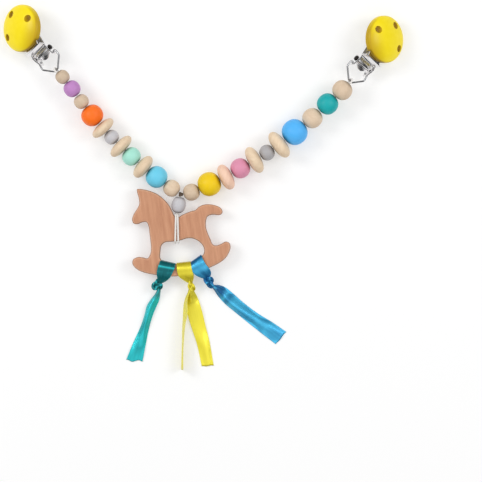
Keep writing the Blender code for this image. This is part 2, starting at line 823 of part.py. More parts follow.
def make_bail(name, clip):
    """A wire loop that narrows towards the cord, with its ends turned into the ears."""
    half_path = [
        Vector((BAIL_END_INSIDE / 2, 0, 0)),
        Vector((BAIL_LEGS_APART / 2, 0, 0)),
        Vector((BAIL_CORNERS_APART / 2, BAIL_CORNER_PLACE, 0)),
        Vector((BAIL_NARROW_END / 2, BAIL_LENGTH, 0)),
    ]
    mirrored = [Vector((-place.x, place.y, 0)) for place in reversed(half_path)]
    radii = [0, BAIL_EAR_BEND, BAIL_BEND, BAIL_BEND]
    path = rounded_corners(half_path + mirrored, [*radii, *reversed(radii)])
    place = Matrix.Translation(BAIL_PLACE) @ Matrix.Rotation(-BAIL_ANGLE, 4, "X")
    add(name, tube_curve(name, path, BAIL_WIRE), clip, place, "steel")


def make_clip(label, side, bail_end):
    """A clip whose bail ends at the given point."""
    turned = clip_turn(side)
    clip = add_empty(f"clip_{label}", Matrix.Translation(bail_end - turned @ BAIL_END) @ turned)
    make_disc(f"clip_disc_{label}", clip)
    make_base_plate(f"base_plate_{label}", clip)
    make_grip_pad(f"grip_pad_{label}", clip)
    make_rivet(f"rivet_{label}", clip)
    make_hinge_pin(f"hinge_pin_{label}", clip)
    make_lever(f"lever_{label}", clip)
    make_bail(f"bail_{label}", clip)


# Chain


def bead_profile(diameter, length, power, bore):
    """Half a bead's section, from the bore's upper rim out, down the outside and back."""
    radius = diameter / 2
    rim = bore / 2 + BEAD_END_FLAT
    reach = length / 2 / (1 - (rim / radius) ** power) ** (1 / power)
    last_angle = math.acos((rim / radius) ** (power / 2))
    profile = [(bore / 2, length / 2)]
    for step in range(BEAD_ARC_POINTS):
        angle = last_angle * (1 - 2 * step / (BEAD_ARC_POINTS - 1))
        rise = abs(math.sin(angle)) ** (2 / power)
        profile.append((radius * math.cos(angle) ** (2 / power), math.copysign(reach * rise, angle)))
    return [*profile, (bore / 2, -length / 2)]


def make_bead(name, bead, matrix, bore):
    look, diameter, length, power = bead
    mesh = turned_mesh(name, bead_profile(diameter, length, power, bore), closed=True)
    turn(add(name, mesh, matrix=matrix, look=look), TURN_STEPS)


def bead_distances(beads):
    """How far each bead's centre is from the knot, and where the cord's stretches end."""
    distances = []
    far_end = KNOT_RADIUS + LEG_START_GAP
    firsts = [sum(BEADS_ON_STRETCH[:number]) for number in range(1, len(BEADS_ON_STRETCH))]
    for index, (_, _, length, _) in enumerate(beads):
        if index:
            far_end += FLEX_GAP if index in firsts else BEAD_GAP
        distances.append(far_end + length / 2)
        far_end += length
    return distances, firsts


def leg_route(route_px, beads):
    """The leg's route in space: each bead lies on the table, or is held up by a larger neighbour."""
    plan = Route([at_px(place) for place in route_px])
    distances, _ = bead_distances(beads)
    bail_distance = distances[-1] + beads[-1][2] / 2 + CORD_LOOP_TO_BEAD
    supports = [(0, KNOT_HEIGHT), (bail_distance, bail_end_height())]
    supports += [(there, bead[1] / 2) for there, bead in zip(distances, beads)]
    points = []
    for distance in (0, *distances, bail_distance):
        place = plan.at(distance)
        place.z = max(height - LIE_SLOPE_SHARE * abs(distance - there) for there, height in supports)
        points.append(place)
    return Route(points)


def make_cord(name, route, start, end, pivot, loop_axis=None):
    """One stretch of the cord, with its origin where it bends, and a loop round a bail at the last."""
    pivot_frame = route.frame(pivot)
    count = max(3, round((end - start) / CORD_POINT_SPACING))
    inward = pivot_frame.inverted()
    points = [inward @ route.at(start + (end - start) * step / count) for step in range(count + 1)]
    cord = add(name, tube_curve(name, points, CORD_DIAMETER), matrix=pivot_frame, look="cord_white")
    if not loop_axis:
        return
    cord = mesh_of(cord)
    radius = BAIL_WIRE / 2 + FIT + CORD_DIAMETER / 2
    ring = []
    for step in range(HOLE_SIDES):
        angle = math.tau * step / HOLE_SIDES
        ring.append(Vector((radius * math.cos(angle), radius * math.sin(angle), 0)))
    loop_name = f"{name}_loop"
    place = frame(route.points[-1], loop_axis, route.along(end))
    loop = add(loop_name, tube_curve(loop_name, ring, CORD_DIAMETER, closed=True), matrix=place)
    join(cord, mesh_of(loop))


def make_leg(label, side, route_px, beads):
    """A leg of the chain from the knot to its clip."""
    route = leg_route(route_px, beads)
    _, firsts = bead_distances(beads)
    centres = [route.of_point(index + 1) for index in range(len(beads))]
    for number, (bead, centre) in enumerate(zip(beads, centres), 1):
        make_bead(f"bead_{label}_{number}_{bead[0]}", bead, route.chord_frame(centre, bead[2]), BEAD_BORE)
    bends = []
    for first in firsts:
        near = centres[first - 1] + beads[first - 1][2] / 2
        far = centres[first] - beads[first][2] / 2
        bends.append((near + far) / 2)
    loop_radius = BAIL_WIRE / 2 + FIT + CORD_DIAMETER / 2
    last_end = route.distances[-1] - loop_radius
    starts = [KNOT_RADIUS + FIT, *(bend + CORD_END_GAP / 2 for bend in bends)]
    ends = [*(bend - CORD_END_GAP / 2 for bend in bends), last_end]
    wire_axis = clip_turn(side) @ Vector((1, 0, 0))
    for number, (start, end, pivot) in enumerate(zip(starts, ends, [0, *bends]), 1):
        loop_axis = wire_axis if number == len(starts) else None
        make_cord(f"cord_{label}_{number}", route, start, end, pivot, loop_axis)
    make_clip(label, side, route.points[-1])


def make_knot(name):
    """The knot where both legs and the pendant meet."""
    centre = at_px(KNOT_PX, KNOT_HEIGHT)
    ball = ball_mesh(name, KNOT_RADIUS, 10, 8)
    add(name, ball, matrix=Matrix.Translation(centre), look="cord_white")


# Horse and its cord


def horse_outlines():
    outer = smooth([at_px(place) for place in HORSE_OUTLINE_PX], OUTLINE_STEPS, closed=True)
    belly = smooth([at_px(place) for place in HORSE_BELLY_PX], OUTLINE_STEPS, closed=True)
    return outer, belly


def crossings(outline, across):
    """Where a closed outline crosses the line X = across, lowest first."""
    found = []
    for near, far in zip(outline, [*outline[1:], outline[0]]):
        if (near.x - across) * (far.x - across) < 0:
            found.append(near.lerp(far, (across - near.x) / (far.x - near.x)).y)
    return sorted(found)


HORSE_BACK = STRAND_DIAMETER + FIT
HORSE_MIDDLE = HORSE_BACK + HORSE_THICKNESS / 2


def pendant_frame():
    """A frame on the knot, with Z down the pendant to the hitch."""
    knot = at_px(KNOT_PX, KNOT_HEIGHT)
    down = (at_px(HITCH_PX, HORSE_MIDDLE) - knot).normalized()
    return frame(knot, down, down.cross(UP))


def back_under_strands():
    """The highest place of the horse's back, and the lowest of its belly, under the strands."""
    outer, belly = horse_outlines()
    across = at_px(HITCH_PX).x
    sides = [across + side * (STRANDS_APART + STRAND_DIAMETER) / 2 for side in (-1, 0, 1)]
    back = max(crossings(outer, side)[-1] for side in sides)
    return back, min(crossings(belly, side)[-1] for side in sides)


def horse_shift():
    """How far the horse moves so that its hitch is at the pendant's end."""
    back, _ = back_under_strands()
    hitch = Vector((at_px(HITCH_PX).x, back + FIT + HITCH_RADIUS, HORSE_MIDDLE))
    shift = pendant_frame() @ Vector((0, 0, PENDANT_REACH)) - hitch
    return Matrix.Translation((shift.x, shift.y, 0))


def make_horse():
    outer, belly = horse_outlines()
    shape = outline_curve("horse", [outer, belly], HORSE_THICKNESS, HORSE_EDGE)
    place = horse_shift() @ Matrix.Translation((0, 0, HORSE_MIDDLE))
    mesh_of(add("horse", shape, matrix=place, look="horse_wood"))


def make_horse_cord(name):
    """Two turns round the horse's body, a hitch on its back and two strands up through the bead."""
    back, belly = back_under_strands()
    clearance = FIT + STRAND_DIAMETER / 2
    top = back + clearance
    bottom = belly - clearance
    half_depth = HORSE_THICKNESS / 2 + clearance
    turn_path = rounded_rectangle((top - bottom) / 2, half_depth, HORSE_EDGE + clearance)
    middle = Vector((at_px(HITCH_PX).x, (top + bottom) / 2, HORSE_MIDDLE))
    pieces = []
    for side, label in ((-1, "a"), (1, "b")):
        apart = Vector((side * STRANDS_APART / 2, 0, 0))
        place = horse_shift() @ axes((0, 1, 0), (0, 0, 1), (1, 0, 0), middle + apart)
        ring = tube_curve(f"{name}_turn_{label}", turn_path, STRAND_DIAMETER, closed=True)
        pieces.append(add(ring.name, ring, matrix=place))
    pendant = pendant_frame()
    for side, label in ((-1, "a"), (1, "b")):
        ends = [
            Vector((side * STRANDS_APART / 2, 0, KNOT_RADIUS + FIT)),
            Vector((side * STRANDS_APART / 2, 0, PENDANT_REACH)),
        ]
        strand = tube_curve(f"{name}_strand_{label}", ends, STRAND_DIAMETER)
        pieces.append(add(strand.name, strand, matrix=pendant))
    ball = ball_mesh(name, HITCH_RADIUS, 10, 8)
    place = pendant @ Matrix.Translation((0, 0, PENDANT_REACH))
    cord = add(name, ball, matrix=place, look="cord_white")
    for piece in pieces:
        join(cord, mesh_of(piece))


def make_pendant_bead():
    middle = KNOT_RADIUS + FIT + PENDANT_BEAD[2] / 2
    place = pendant_frame() @ Matrix.Translation((0, 0, middle))
    make_bead("bead_pendant_grey", PENDANT_BEAD, place, PENDANT_BORE)


# Ribbons


def ribbon_knot(ribbon):
    return horse_shift() @ at_px(RIBBON_KNOTS_PX[ribbon], HORSE_MIDDLE)


def make_ribbon_loop(ribbon):
    """A band round the rocker, gathered below it into a knot."""
    name, look = f"{ribbon}_ribbon_loop", f"{ribbon}_ribbon"
    width_turn = Matrix.Rotation(BAND_SLOPES[ribbon], 4, "Z")
    to_band = (Matrix.Translation(at_px(BAND_TOPS_PX[ribbon])) @ width_turn).inverted()
    outer, belly = ([to_band @ place for place in outline] for outline in horse_outlines())
    places = [BAND_WIDTH * share for share in (-0.5, -0.25, 0, 0.25, 0.5)]
    top = max(crossings(belly, place)[0] for place in places)
    bottom = min(crossings(outer, place)[0] for place in places)
    half_height = (top - bottom) / 2 + FIT
    half_depth = HORSE_THICKNESS / 2 + FIT
    inner = rounded_rectangle(half_height, half_depth, BAND_CORNER)
    outside = rounded_rectangle(
        half_height + RIBBON_THICKNESS, half_depth + RIBBON_THICKNESS, BAND_CORNER + RIBBON_THICKNESS
    )
    shape = outline_curve(name, [outside, inner], BAND_WIDTH)
    middle = to_band.inverted() @ Vector((0, (top + bottom) / 2, HORSE_MIDDLE))
    band_turn = width_turn @ axes((0, 1, 0), (0, 0, 1), (1, 0, 0))
    place = horse_shift() @ Matrix.Translation(middle) @ band_turn
    band = mesh_of(add(name, shape, matrix=place, look=look))
    knot = ribbon_knot(ribbon)
    knot_in_band = place.inverted() @ knot
    wall = -half_height - RIBBON_THICKNESS / 2

    def build(shape):
        bmesh.ops.create_cube(shape, size=1)
        for vert in shape.verts:
            across, deep, down = vert.co.z, vert.co.y, vert.co.x < 0
            if down:
                offset = Vector((0, deep * GATHER_END_DEPTH, across * GATHER_END_WIDTH))
                vert.co = knot_in_band + offset
            else:
                vert.co = (wall, deep * 2 * half_depth, across * (BAND_WIDTH - RIBBON_THICKNESS))

    gather = mesh_from(f"{name}_gather", build)
    join(band, add(gather.name, gather, matrix=place))
    ball = ball_mesh(f"{name}_knot", RIBBON_KNOT_RADIUS, 12, 8)
    join(band, add(ball.name, ball, matrix=Matrix.Translation(knot)))


def pleat_depth(width, spread):
    """How deep the pleats are where a tail is drawn in to a share of its width."""
    return width / TAIL_FOLDS * math.sqrt(1 - spread**2)


def make_tail(name, ribbon, width, roll=0):
    """A ribbon tail that leaves its knot in pleats and opens out on the table."""
    knot = ribbon_knot(ribbon)
    spread_shares = TAIL_SPREAD_SHARES[name]
    centres = []
    for place_px, height_share in zip(TAIL_STATIONS_PX[name], TAIL_HEIGHT_SHARES[name]):
        place = horse_shift() @ at_px(place_px, TAIL_LIE_HEIGHT)
        place.z += height_share * (knot.z - TAIL_LIE_HEIGHT) + math.sin(roll) * width / 2
        centres.append(place)
    outward = centres[0] - knot
    outward.z = 0
    outward.normalize()
    start = knot + outward * (RIBBON_KNOT_RADIUS + FIT)
    start.z -= pleat_depth(width, spread_shares[0]) / 2
    rows = smooth([start, *centres], TAIL_STEPS)
    spreads = []
    for near, far in zip(spread_shares, spread_shares[1:]):
        spreads += [near + (far - near) * step / TAIL_STEPS for step in range(TAIL_STEPS)]
    spreads.append(spread_shares[-1])
    place = frame(knot, UP, outward.cross(UP))
    inward = place.inverted()

    def build(shape):
        bmesh.ops.create_grid(shape, x_segments=TAIL_FOLDS, y_segments=len(rows) - 1, size=1)
        ordered = sorted(shape.verts, key=lambda vert: (round(vert.co.y, 4), round(vert.co.x, 4)))
        for index, vert in enumerate(ordered):
            row, column = divmod(index, TAIL_FOLDS + 1)
            before, beyond = rows[max(row - 1, 0)], rows[min(row + 1, len(rows) - 1)]
            across = (beyond - before).cross(UP).normalized()
            level = across * math.cos(roll) + UP * math.sin(roll)
            offset = (column / TAIL_FOLDS - 0.5) * width * spreads[row]
            pleat = pleat_depth(width, spreads[row]) * (column % 2)
            vert.co = inward @ (rows[row] + level * offset + UP * pleat)

    tail = add(name, mesh_from(name, build), matrix=place, look=f"{ribbon}_ribbon")
    solid = tail.modifiers.new("thickness", "SOLIDIFY")
    solid.thickness = RIBBON_THICKNESS
    solid.offset = 0


def main():
    make_leg("left", -1, LEFT_ROUTE_PX, LEFT_BEADS)
    make_leg("right", 1, RIGHT_ROUTE_PX, RIGHT_BEADS)
    make_knot("knot")
    make_pendant_bead()
    make_horse()
    make_horse_cord("horse_cord")
    for ribbon in RIBBON_KNOTS_PX:
        make_ribbon_loop(ribbon)
    make_tail("teal_tail", "teal", TEAL_TAIL_WIDTH)
    make_tail("yellow_tail_wide", "yellow", YELLOW_TAIL_WIDTH)
    make_tail("yellow_tail_thin", "yellow", YELLOW_TAIL_WIDTH, THIN_TAIL_ROLL)
    make_tail("blue_tail", "blue", BLUE_TAIL_WIDTH)


clear_scene()
TOY = new_collection("pram_chain_toy")
CUTTERS = new_collection("cutters")
main()
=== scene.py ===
"""Looks of the pram chain toy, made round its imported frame.

Metres, +Z up. The toy lies on its back on a pale table, and the camera looks straight down.
Places that come from the picture are given in its pixels, and at_px turns them into metres.
"""

import json
import math

import bmesh
import bpy
import numpy as np
from mathutils import Matrix, Vector

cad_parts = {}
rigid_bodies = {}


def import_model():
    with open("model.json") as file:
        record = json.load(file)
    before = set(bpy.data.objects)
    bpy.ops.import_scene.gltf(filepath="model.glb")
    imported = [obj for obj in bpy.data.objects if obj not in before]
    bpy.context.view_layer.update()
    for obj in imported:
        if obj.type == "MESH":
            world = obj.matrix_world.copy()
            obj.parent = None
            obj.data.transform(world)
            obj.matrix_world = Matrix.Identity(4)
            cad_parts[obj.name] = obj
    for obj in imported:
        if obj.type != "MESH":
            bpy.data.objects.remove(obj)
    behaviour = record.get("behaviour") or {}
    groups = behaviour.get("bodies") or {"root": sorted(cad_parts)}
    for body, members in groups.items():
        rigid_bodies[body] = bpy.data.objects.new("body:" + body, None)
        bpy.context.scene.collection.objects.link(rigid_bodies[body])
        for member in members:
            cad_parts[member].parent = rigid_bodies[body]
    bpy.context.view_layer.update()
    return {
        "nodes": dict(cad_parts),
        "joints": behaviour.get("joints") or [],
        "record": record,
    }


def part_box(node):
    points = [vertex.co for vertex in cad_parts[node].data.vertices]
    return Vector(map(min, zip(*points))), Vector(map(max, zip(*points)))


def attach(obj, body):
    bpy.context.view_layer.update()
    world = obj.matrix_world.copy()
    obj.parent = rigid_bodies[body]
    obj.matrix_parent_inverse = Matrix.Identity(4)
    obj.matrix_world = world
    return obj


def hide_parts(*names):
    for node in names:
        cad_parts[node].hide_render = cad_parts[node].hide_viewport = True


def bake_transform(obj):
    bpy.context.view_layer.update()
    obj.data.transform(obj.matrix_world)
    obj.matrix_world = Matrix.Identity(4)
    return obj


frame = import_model()
JOINTS = {joint["name"]: joint for joint in frame["joints"]}
MOUNTS = {mount["name"]: mount for mount in frame["record"]["mounts"]}
SPINS = [joint for name, joint in JOINTS.items() if name.startswith("spin_")]
SIDES = ("left", "right")
UP = (0, 0, 1)

# The picture: the size of its pixels, the part's origin on it, and its camera
PIXEL = 0.00076
ORIGIN_PX = (203.3, 187.5)
PICTURE_PX = 482
CAMERA_HEIGHT = 2.6
SENSOR = 0.036

# Sizes that the looks share with the solids
FIT = 0.0003
BEAD_BORE = 0.003
PENDANT_BORE = 0.0039
PENDANT_REACH = 0.015
SPHERE_POWER = 2.15
LENS_POWER = 2.25
CORD_DIAMETER = 0.0015
STRAND_DIAMETER = 0.0014
STRANDS_APART = 0.0019
HITCH_RADIUS = 0.0015
BAIL_WIRE = 0.0014
HORSE_THICKNESS = 0.01
HORSE_EDGE = 0.0019
DISC_RADIUS = 0.018
DISC_SIDE = 0.003
DISC_DOME = 0.0065
DISC_SOFT = 0.0006
VENT_DIAMETER = 0.0052
VENTS = ((-0.0126, 0), (0.0126, 0), (0, -0.0126))
POCKET_WIDTH = 0.015
POCKET_START = 0.0092
POCKET_DEPTH = 0.002
MOUNT_PLACE = (-0.009, -0.009, 0)

# Sizes of the looks alone
RIM = 0.0005
KNOT_CLEAR = 0.0023
LEG_KNOT = 0.00048
HITCH_KNOT = 0.00042
TURN_CORNER = 0.0022
TURNS_FAN = 0.26
PIN_HEAD = 0.0021
PIN_DOME = 0.0007
PIN_NECK = 0.0002
DISC_EDGE = 0.0006
PLATE_BEVEL = 0.00018
SMALL_BEVEL = 0.0002
BAIL_HALF = ((0.0068, 0), (0.0098, 0), (0.0103, 0.005), (0.0022, 0.0122))
BAIL_BENDS = (0.0011, 0.0018, 0.0018)
DISC_VOXEL = 0.0003
HORSE_VOXEL = 0.00042
RIBBON_THICKNESS = 0.00028
LIE_HEIGHT = 0.0004

# The board's outlines, as X and Y of one point after another
HORSE_OUTLINE_PX = [
    136.9, 187.6, 138, 187.4, 142, 187.6, 150, 189.4, 157, 192.4, 163, 197, 168.5, 203, 171.8, 209,
    175, 215, 178, 215.6, 182, 213.4, 190, 210, 195.5, 208.4, 198.5, 205.5, 203, 203.3, 209, 202.7,
    216, 204, 221, 206.7, 222.6, 210.8, 220, 213.4, 212, 213.1, 207.6, 214.8, 206, 219, 206, 226,
    207.5, 231, 210.5, 238, 212.8, 243, 216.5, 243.9, 221, 242.4, 225.5, 240, 229.3, 241.3,
    230.6, 245.5, 229, 251, 226, 256, 220, 261, 207, 267.2, 190, 272.8, 172, 275, 157, 273.6,
    144, 271, 136.5, 267.5, 132.4, 262.5, 133, 258, 138, 255.5, 143, 256, 147.5, 256.8, 150.4, 252,
    151, 246, 150.5, 240, 149.5, 232, 148.6, 225, 146.5, 220.6, 142, 220.8, 137.5, 222.6,
    133.5, 222, 132, 217.5, 134, 212, 137.2, 207, 139.2, 202.5, 138.8, 197, 137.2, 191.5,
    136.8, 188.9,
]
HORSE_BELLY_PX = [
    160.3, 257, 160.3, 250, 161.3, 244.2, 164.5, 241, 173, 240, 180, 239, 186, 237, 192, 236.8,
    199, 240, 203.6, 245.8, 203.8, 252, 199, 256.4, 190, 260.5, 177, 262.5, 165, 261,
]

# Ribbons: the knot's place, stretch, turn and line, the flat width, how steep the satin of the wrap
# and of the tails is where none of its light comes back, its painted shaded and lit tones, and the
# wrap's two edges from the top down, as X and Y of the one and of the other
RIBBONS = {
    "teal": {
        "knot": (157, 283.6), "stretch": (1.05, 1.25), "turn": 15, "line": 0.00098,
        "width": 0.0118, "steep": 0.26, "tail_steep": 0.5,
        "deep": (0.001, 0.135, 0.152), "bright": (0.018, 0.54, 0.58),
        "wrap": [
            160.2, 259.6, 175.2, 263, 158.6, 263.6, 174.8, 266.6, 157.2, 268.4, 172.8, 270.8,
            156.8, 273, 170.6, 275, 157.4, 277.2, 167.2, 278.8, 157.6, 280.6, 162.6, 281.6,
        ],
    },
    "yellow": {
        "knot": (191.2, 285), "stretch": (0.86, 1.45), "turn": -10, "line": 0.00066,
        "width": 0.011, "steep": 0.75, "tail_steep": 1.1,
        "deep": (0.62, 0.5, 0.015), "bright": (0.87, 0.77, 0.055),
        "wrap": [
            176.6, 262.6, 190.6, 261, 176.8, 266.8, 191.6, 265.4, 177.4, 271, 192.6, 270,
            179, 275, 193.6, 274, 183.4, 278.6, 193.4, 277.6, 187.6, 281.2, 192.4, 280.8,
        ],
    },
    "blue": {
        "knot": (209.2, 280.4), "stretch": (0.95, 1.35), "turn": 40, "line": 0.00098,
        "width": 0.0138, "steep": 0.68, "tail_steep": 0.34,
        "deep": (0.006, 0.12, 0.31), "bright": (0.066, 0.5, 0.8),
        "wrap": [
            190.8, 261.8, 201.6, 254.2, 191.4, 265.6, 203.4, 258.6, 192.2, 269.8, 206.2, 263.2,
            195.4, 273.4, 209.4, 267.2, 200.4, 276, 211, 271.2, 205, 277.6, 210.4, 274.8,
        ],
    },
}
# How far a wrap's rows are in front of the middle of the board that they are tied round
WRAP_HEIGHTS = (0.0051, 0.0069, 0.0062, 0.0052, 0.0032, 0.0011)
# How far a wrap reaches beyond the rocker's top edge, and how high, from its front to its back
WRAP_BEYOND = (0.0006, 0.0009, 0.0006)
WRAP_TURN = (0.0036, 0, -0.0036)
# Each tail: its ribbon, its two edges, how high it lies at shares of its length, and how ragged
# its cut is
TAILS = {
    "teal_tail": ("teal", [
        156.6, 288.6, 160.2, 287.6, 155, 292.4, 160, 292, 150.6, 298, 158.8, 299,
        146.6, 304.6, 155.8, 306, 144.6, 312.4, 153, 312.6, 141, 323.6, 149.6, 323.4,
        136, 334.6, 147, 335, 130.6, 346.8, 144.6, 347.4, 125.6, 359.4, 142.2, 360.2,
    ], ((0.16, 0.003), (0.28, 0.0031), (0.46, 0.0027), (0.62, 0.0015), (0.8, 0.0015), (1, 0.0006)),
        0.0007),
    "yellow_tail_wide": ("yellow", [
        187.8, 290.4, 194.4, 290.2, 186.4, 295.6, 196.8, 294.8, 186.2, 303.4, 199.6, 302,
        187.6, 313.4, 202.4, 311.6, 191, 325.6, 205.2, 323.6, 196.6, 342.4, 209.2, 339.8,
        201.6, 365.4, 213.6, 364.4,
    ], ((0.14, 0.003), (0.3, 0.0021), (0.5, 0.0013), (0.7, 0.0014), (0.88, 0.0008), (1, 0.0004)),
        0.0002),
    "blue_tail": ("blue", [
        211.6, 285.6, 213.8, 283.2, 214.4, 289.2, 218.2, 283.6, 218.4, 295.2, 224.6, 285.6,
        223.4, 301, 231.6, 290.8, 232.4, 308.6, 241.6, 299.8, 247, 320.6, 256.6, 311.2,
        262, 332.4, 272, 320.8, 276, 343.2, 286.4, 330.6,
    ], ((0.22, 0.0012), (0.32, 0.0021), (0.44, 0.002), (0.66, 0.0007), (0.82, 0.0016), (1, 0.0004)),
        0.0002),
}
THIN_TAIL_PX = [
    188.2, 291, 186.8, 294.6, 185.5, 301, 185.2, 311, 183.5, 325, 182.6, 346, 182.1, 368.4,
]

# The light of the studio's walls and of its ceiling, how steeply it grows between them, and what
# the camera sees behind the table
SKY = (0.16, 1.05)
SKY_POWER = 1.4
BACKDROP = 0.85
# The same in reflections: from where to where it grows, its dark walls and its bright ceiling
MIRRORED = (0.25, 0.8, 0.03, 1.15)
# Two soft lamps: place, width and power
LAMPS = {"left": ((-0.95, 0.45, 1.0), 0.6, 6.5), "right": ((0.95, 0.25, 1.0), 0.6, 4.5)}
# The table is lit from below a little, as a photographer's light table is
TABLE_GLOW = 0.38
TABLE_EDGES = (-3.0, 3.0)

# Looks: colours as linear light, and those of wood as its pale and its dark tone
YELLOW_LACQUER = (0.95, 0.75, 0.003)
# Painted shade inside the vents
VENT_SHADE = (0.52, 0.3, 0.003)
# Painted shade on the disc's lacquer, towards its rim and its high side
PAINTED_DISC_SHADE = (0.56, 0.36, 0.003)
# Painted shade in the pocket's mouth, at the disc's rim
MOUTH_SHADE = (0.2, 0.11, 0.001)
BEECH = ((0.635, 0.325, 0.19), (0.4, 0.165, 0.09))
# A painted highlight where the board's edges start to round
EDGE_HIGHLIGHT_BEECH = (0.86, 0.53, 0.36)
# Painted shade on the board's steep sides, with the darker tone of end grain
SIDE_SHADE_AND_END_GRAIN = (0.2, 0.075, 0.035)
BEAD_LOOKS = {
    "wood": ((0.8, 0.635, 0.47), (0.62, 0.44, 0.29)),
    "lens": ((0.83, 0.665, 0.48), (0.66, 0.47, 0.3)),
    "peach": ((0.95, 0.66, 0.5), (0.8, 0.48, 0.34)),
    "grey": (0.56, 0.55, 0.575),
    "dim_grey": (0.42, 0.41, 0.42),
    "lilac": (0.52, 0.24, 0.55),
    "orange": (1.0, 0.17, 0.008),
    "mint": (0.39, 0.78, 0.655),
    "light_blue": (0.15, 0.615, 0.83),
    "yellow": (0.88, 0.6, 0.002),
    "pink": (0.735, 0.285, 0.42),
    "blue": (0.085, 0.465, 0.95),
    "teal": (0.006, 0.405, 0.42),
}
OWN_LOOKS = {"bead_right_3_lens": "peach", "bead_right_6_grey": "dim_grey"}
TONE_SHARES = {
    "bead_left_9_wood": 0.88, "bead_left_11_wood": 0.8, "bead_right_1_wood": 0.88,
    "bead_right_11_wood": 0.94, "bead_right_5_lens": 1.06, "bead_right_7_lens": 1.08,
}


# Arrays and shapes


def at_px(places):
    """X and Y of places on the picture, given as a row of numbers."""
    return (np.reshape(places, (-1, 2)) - ORIGIN_PX) * (PIXEL, -PIXEL)


def joint_at(name):
    return np.array(JOINTS[name]["pos_m"])


def unit(vectors):
    """The vectors at length one."""
    return vectors / np.linalg.norm(vectors, axis=-1, keepdims=True)


def smooth_step(share):
    """Zero to one, level at both ends: 3s^2 - 2s^3."""
    share = np.clip(share, 0, 1)
    return share * share * (3 - 2 * share)


def smooth_line(points, steps, closed=False):
    """A curve through points: each span blends the lines through its four nearest points,
    timed by the square root of their distances."""
    points = np.asarray(points, float)
    if closed:
        ring = np.vstack([points[-1:], points, points[:2]])
    else:
        ring = np.vstack([2 * points[:1] - points[1:2], points, 2 * points[-1:] - points[-2:-1]])
    lines = [ring[first:len(ring) - 3 + first, None] for first in range(4)]
    gaps = [np.linalg.norm(b - a, axis=-1, keepdims=True) ** 0.5 for a, b in zip(lines, lines[1:])]
    marks = [0, gaps[0], gaps[0] + gaps[1], sum(gaps)]
    now = marks[1] + gaps[1] * (np.arange(steps) / steps)[None, :, None]
    for reach in (1, 2):
        lines = [a + (b - a) * (now - marks[first]) / (marks[first + reach] - marks[first])
                 for first, (a, b) in enumerate(zip(lines, lines[1:]))]
    a, b = lines
    curve = (a + (b - a) * (now - marks[1]) / (marks[2] - marks[1])).reshape(-1, points.shape[-1])
    return curve if closed else np.vstack([curve, points[-1:]])


def lengths_along(line):
    """How far each point of a line is from its start."""
    return np.concatenate([[0.0], np.cumsum(np.linalg.norm(np.diff(line, axis=0), axis=-1))])


def spaced(line, start, spare, count):
    """Points at even distances along a line, less a start and a spare end."""
    far = lengths_along(line)
    return np.stack([np.interp(np.linspace(start, far[-1] - spare, count), far, values)
                     for values in line.T], -1)


def between(first, second, share):
    """Rows of points at shares of the way from one line to another."""
    return first[:, None] * (1 - share)[None, :, None] + second[:, None] * share[None, :, None]


def angles_round(steps):
    """Even angles all the way round."""
    return np.linspace(0, math.tau, steps, endpoint=False)


def circle(radius, sides):
    angles = angles_round(sides)
    return radius * np.stack([np.cos(angles), np.sin(angles)], -1)


def trefoil(scale, steps=90):
    """A closed overhand knot's line: x = sin t + 2 sin 2t, y = cos t - 2 cos 2t, z = -sin 3t."""
    t = angles_round(steps)
    return np.stack([np.sin(t) + 2 * np.sin(2 * t), np.cos(t) - 2 * np.cos(2 * t),
                     -np.sin(3 * t)], -1) * scale


def placed(*axes, at):
    """The matrix of a frame with these three axes at a place."""
    matrix = np.eye(4)
    matrix[:3] = np.stack([*axes, at], -1)
    return matrix


def axis_matrix(origin, z_axis, x_near=UP):
    """A frame at a point with its Z on an axis, and its X as near the other as can be."""
    z_axis, x_near = unit(np.asarray(z_axis, float)), np.asarray(x_near, float)
    x_axis = unit(x_near - z_axis * (z_axis @ x_near))
    return placed(x_axis, np.cross(z_axis, x_axis), z_axis, at=origin)


# Meshes


def settled(thing, **settings):
    """A thing with its settings made."""
    for name, value in settings.items():
        setattr(thing, name, value)
    return thing


def linked(name, data):
    """A new object in the scene."""
    made = bpy.data.objects.new(name, data)
    bpy.context.scene.collection.objects.link(made)
    return made


def piece(name, mesh, look, body=None, replaces=()):
    """Puts a finished mesh in the scene, on its body, in the place of its CAD nodes."""
    made = linked(name, mesh)
    mesh.name = name
    mesh.materials.clear()
    mesh.materials.append(look)
    if body:
        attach(made, body)
    if replaces:
        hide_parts(*replaces)
    return made


def coordinates(mesh, kind="co"):
    """The place, or the normal, of every vertex."""
    values = np.empty(len(mesh.vertices) * 3)
    mesh.vertices.foreach_get(kind, values)
    return values.reshape(-1, 3)


def keep(mesh, label, values):
    """Keeps a number at every vertex, for the material to read."""
    attribute = mesh.attributes.new(label, "FLOAT", "POINT")
    attribute.data.foreach_set("value", values.astype(np.float32).ravel())


def shade_smooth(mesh):
    mesh.polygons.foreach_set("use_smooth", np.ones(len(mesh.polygons), bool))
    return mesh


def break_sharp(mesh, angle=35):
    """Smooth shading, but for edges sharper than the angle."""
    shade_smooth(mesh).set_sharp_from_angle(angle=math.radians(angle))
    return mesh


def four_corners(grid):
    """What a grid holds at the four corners of each of its cells."""
    return np.stack([grid[:-1, :-1], grid[:-1, 1:], grid[1:, 1:], grid[1:, :-1]], 2)


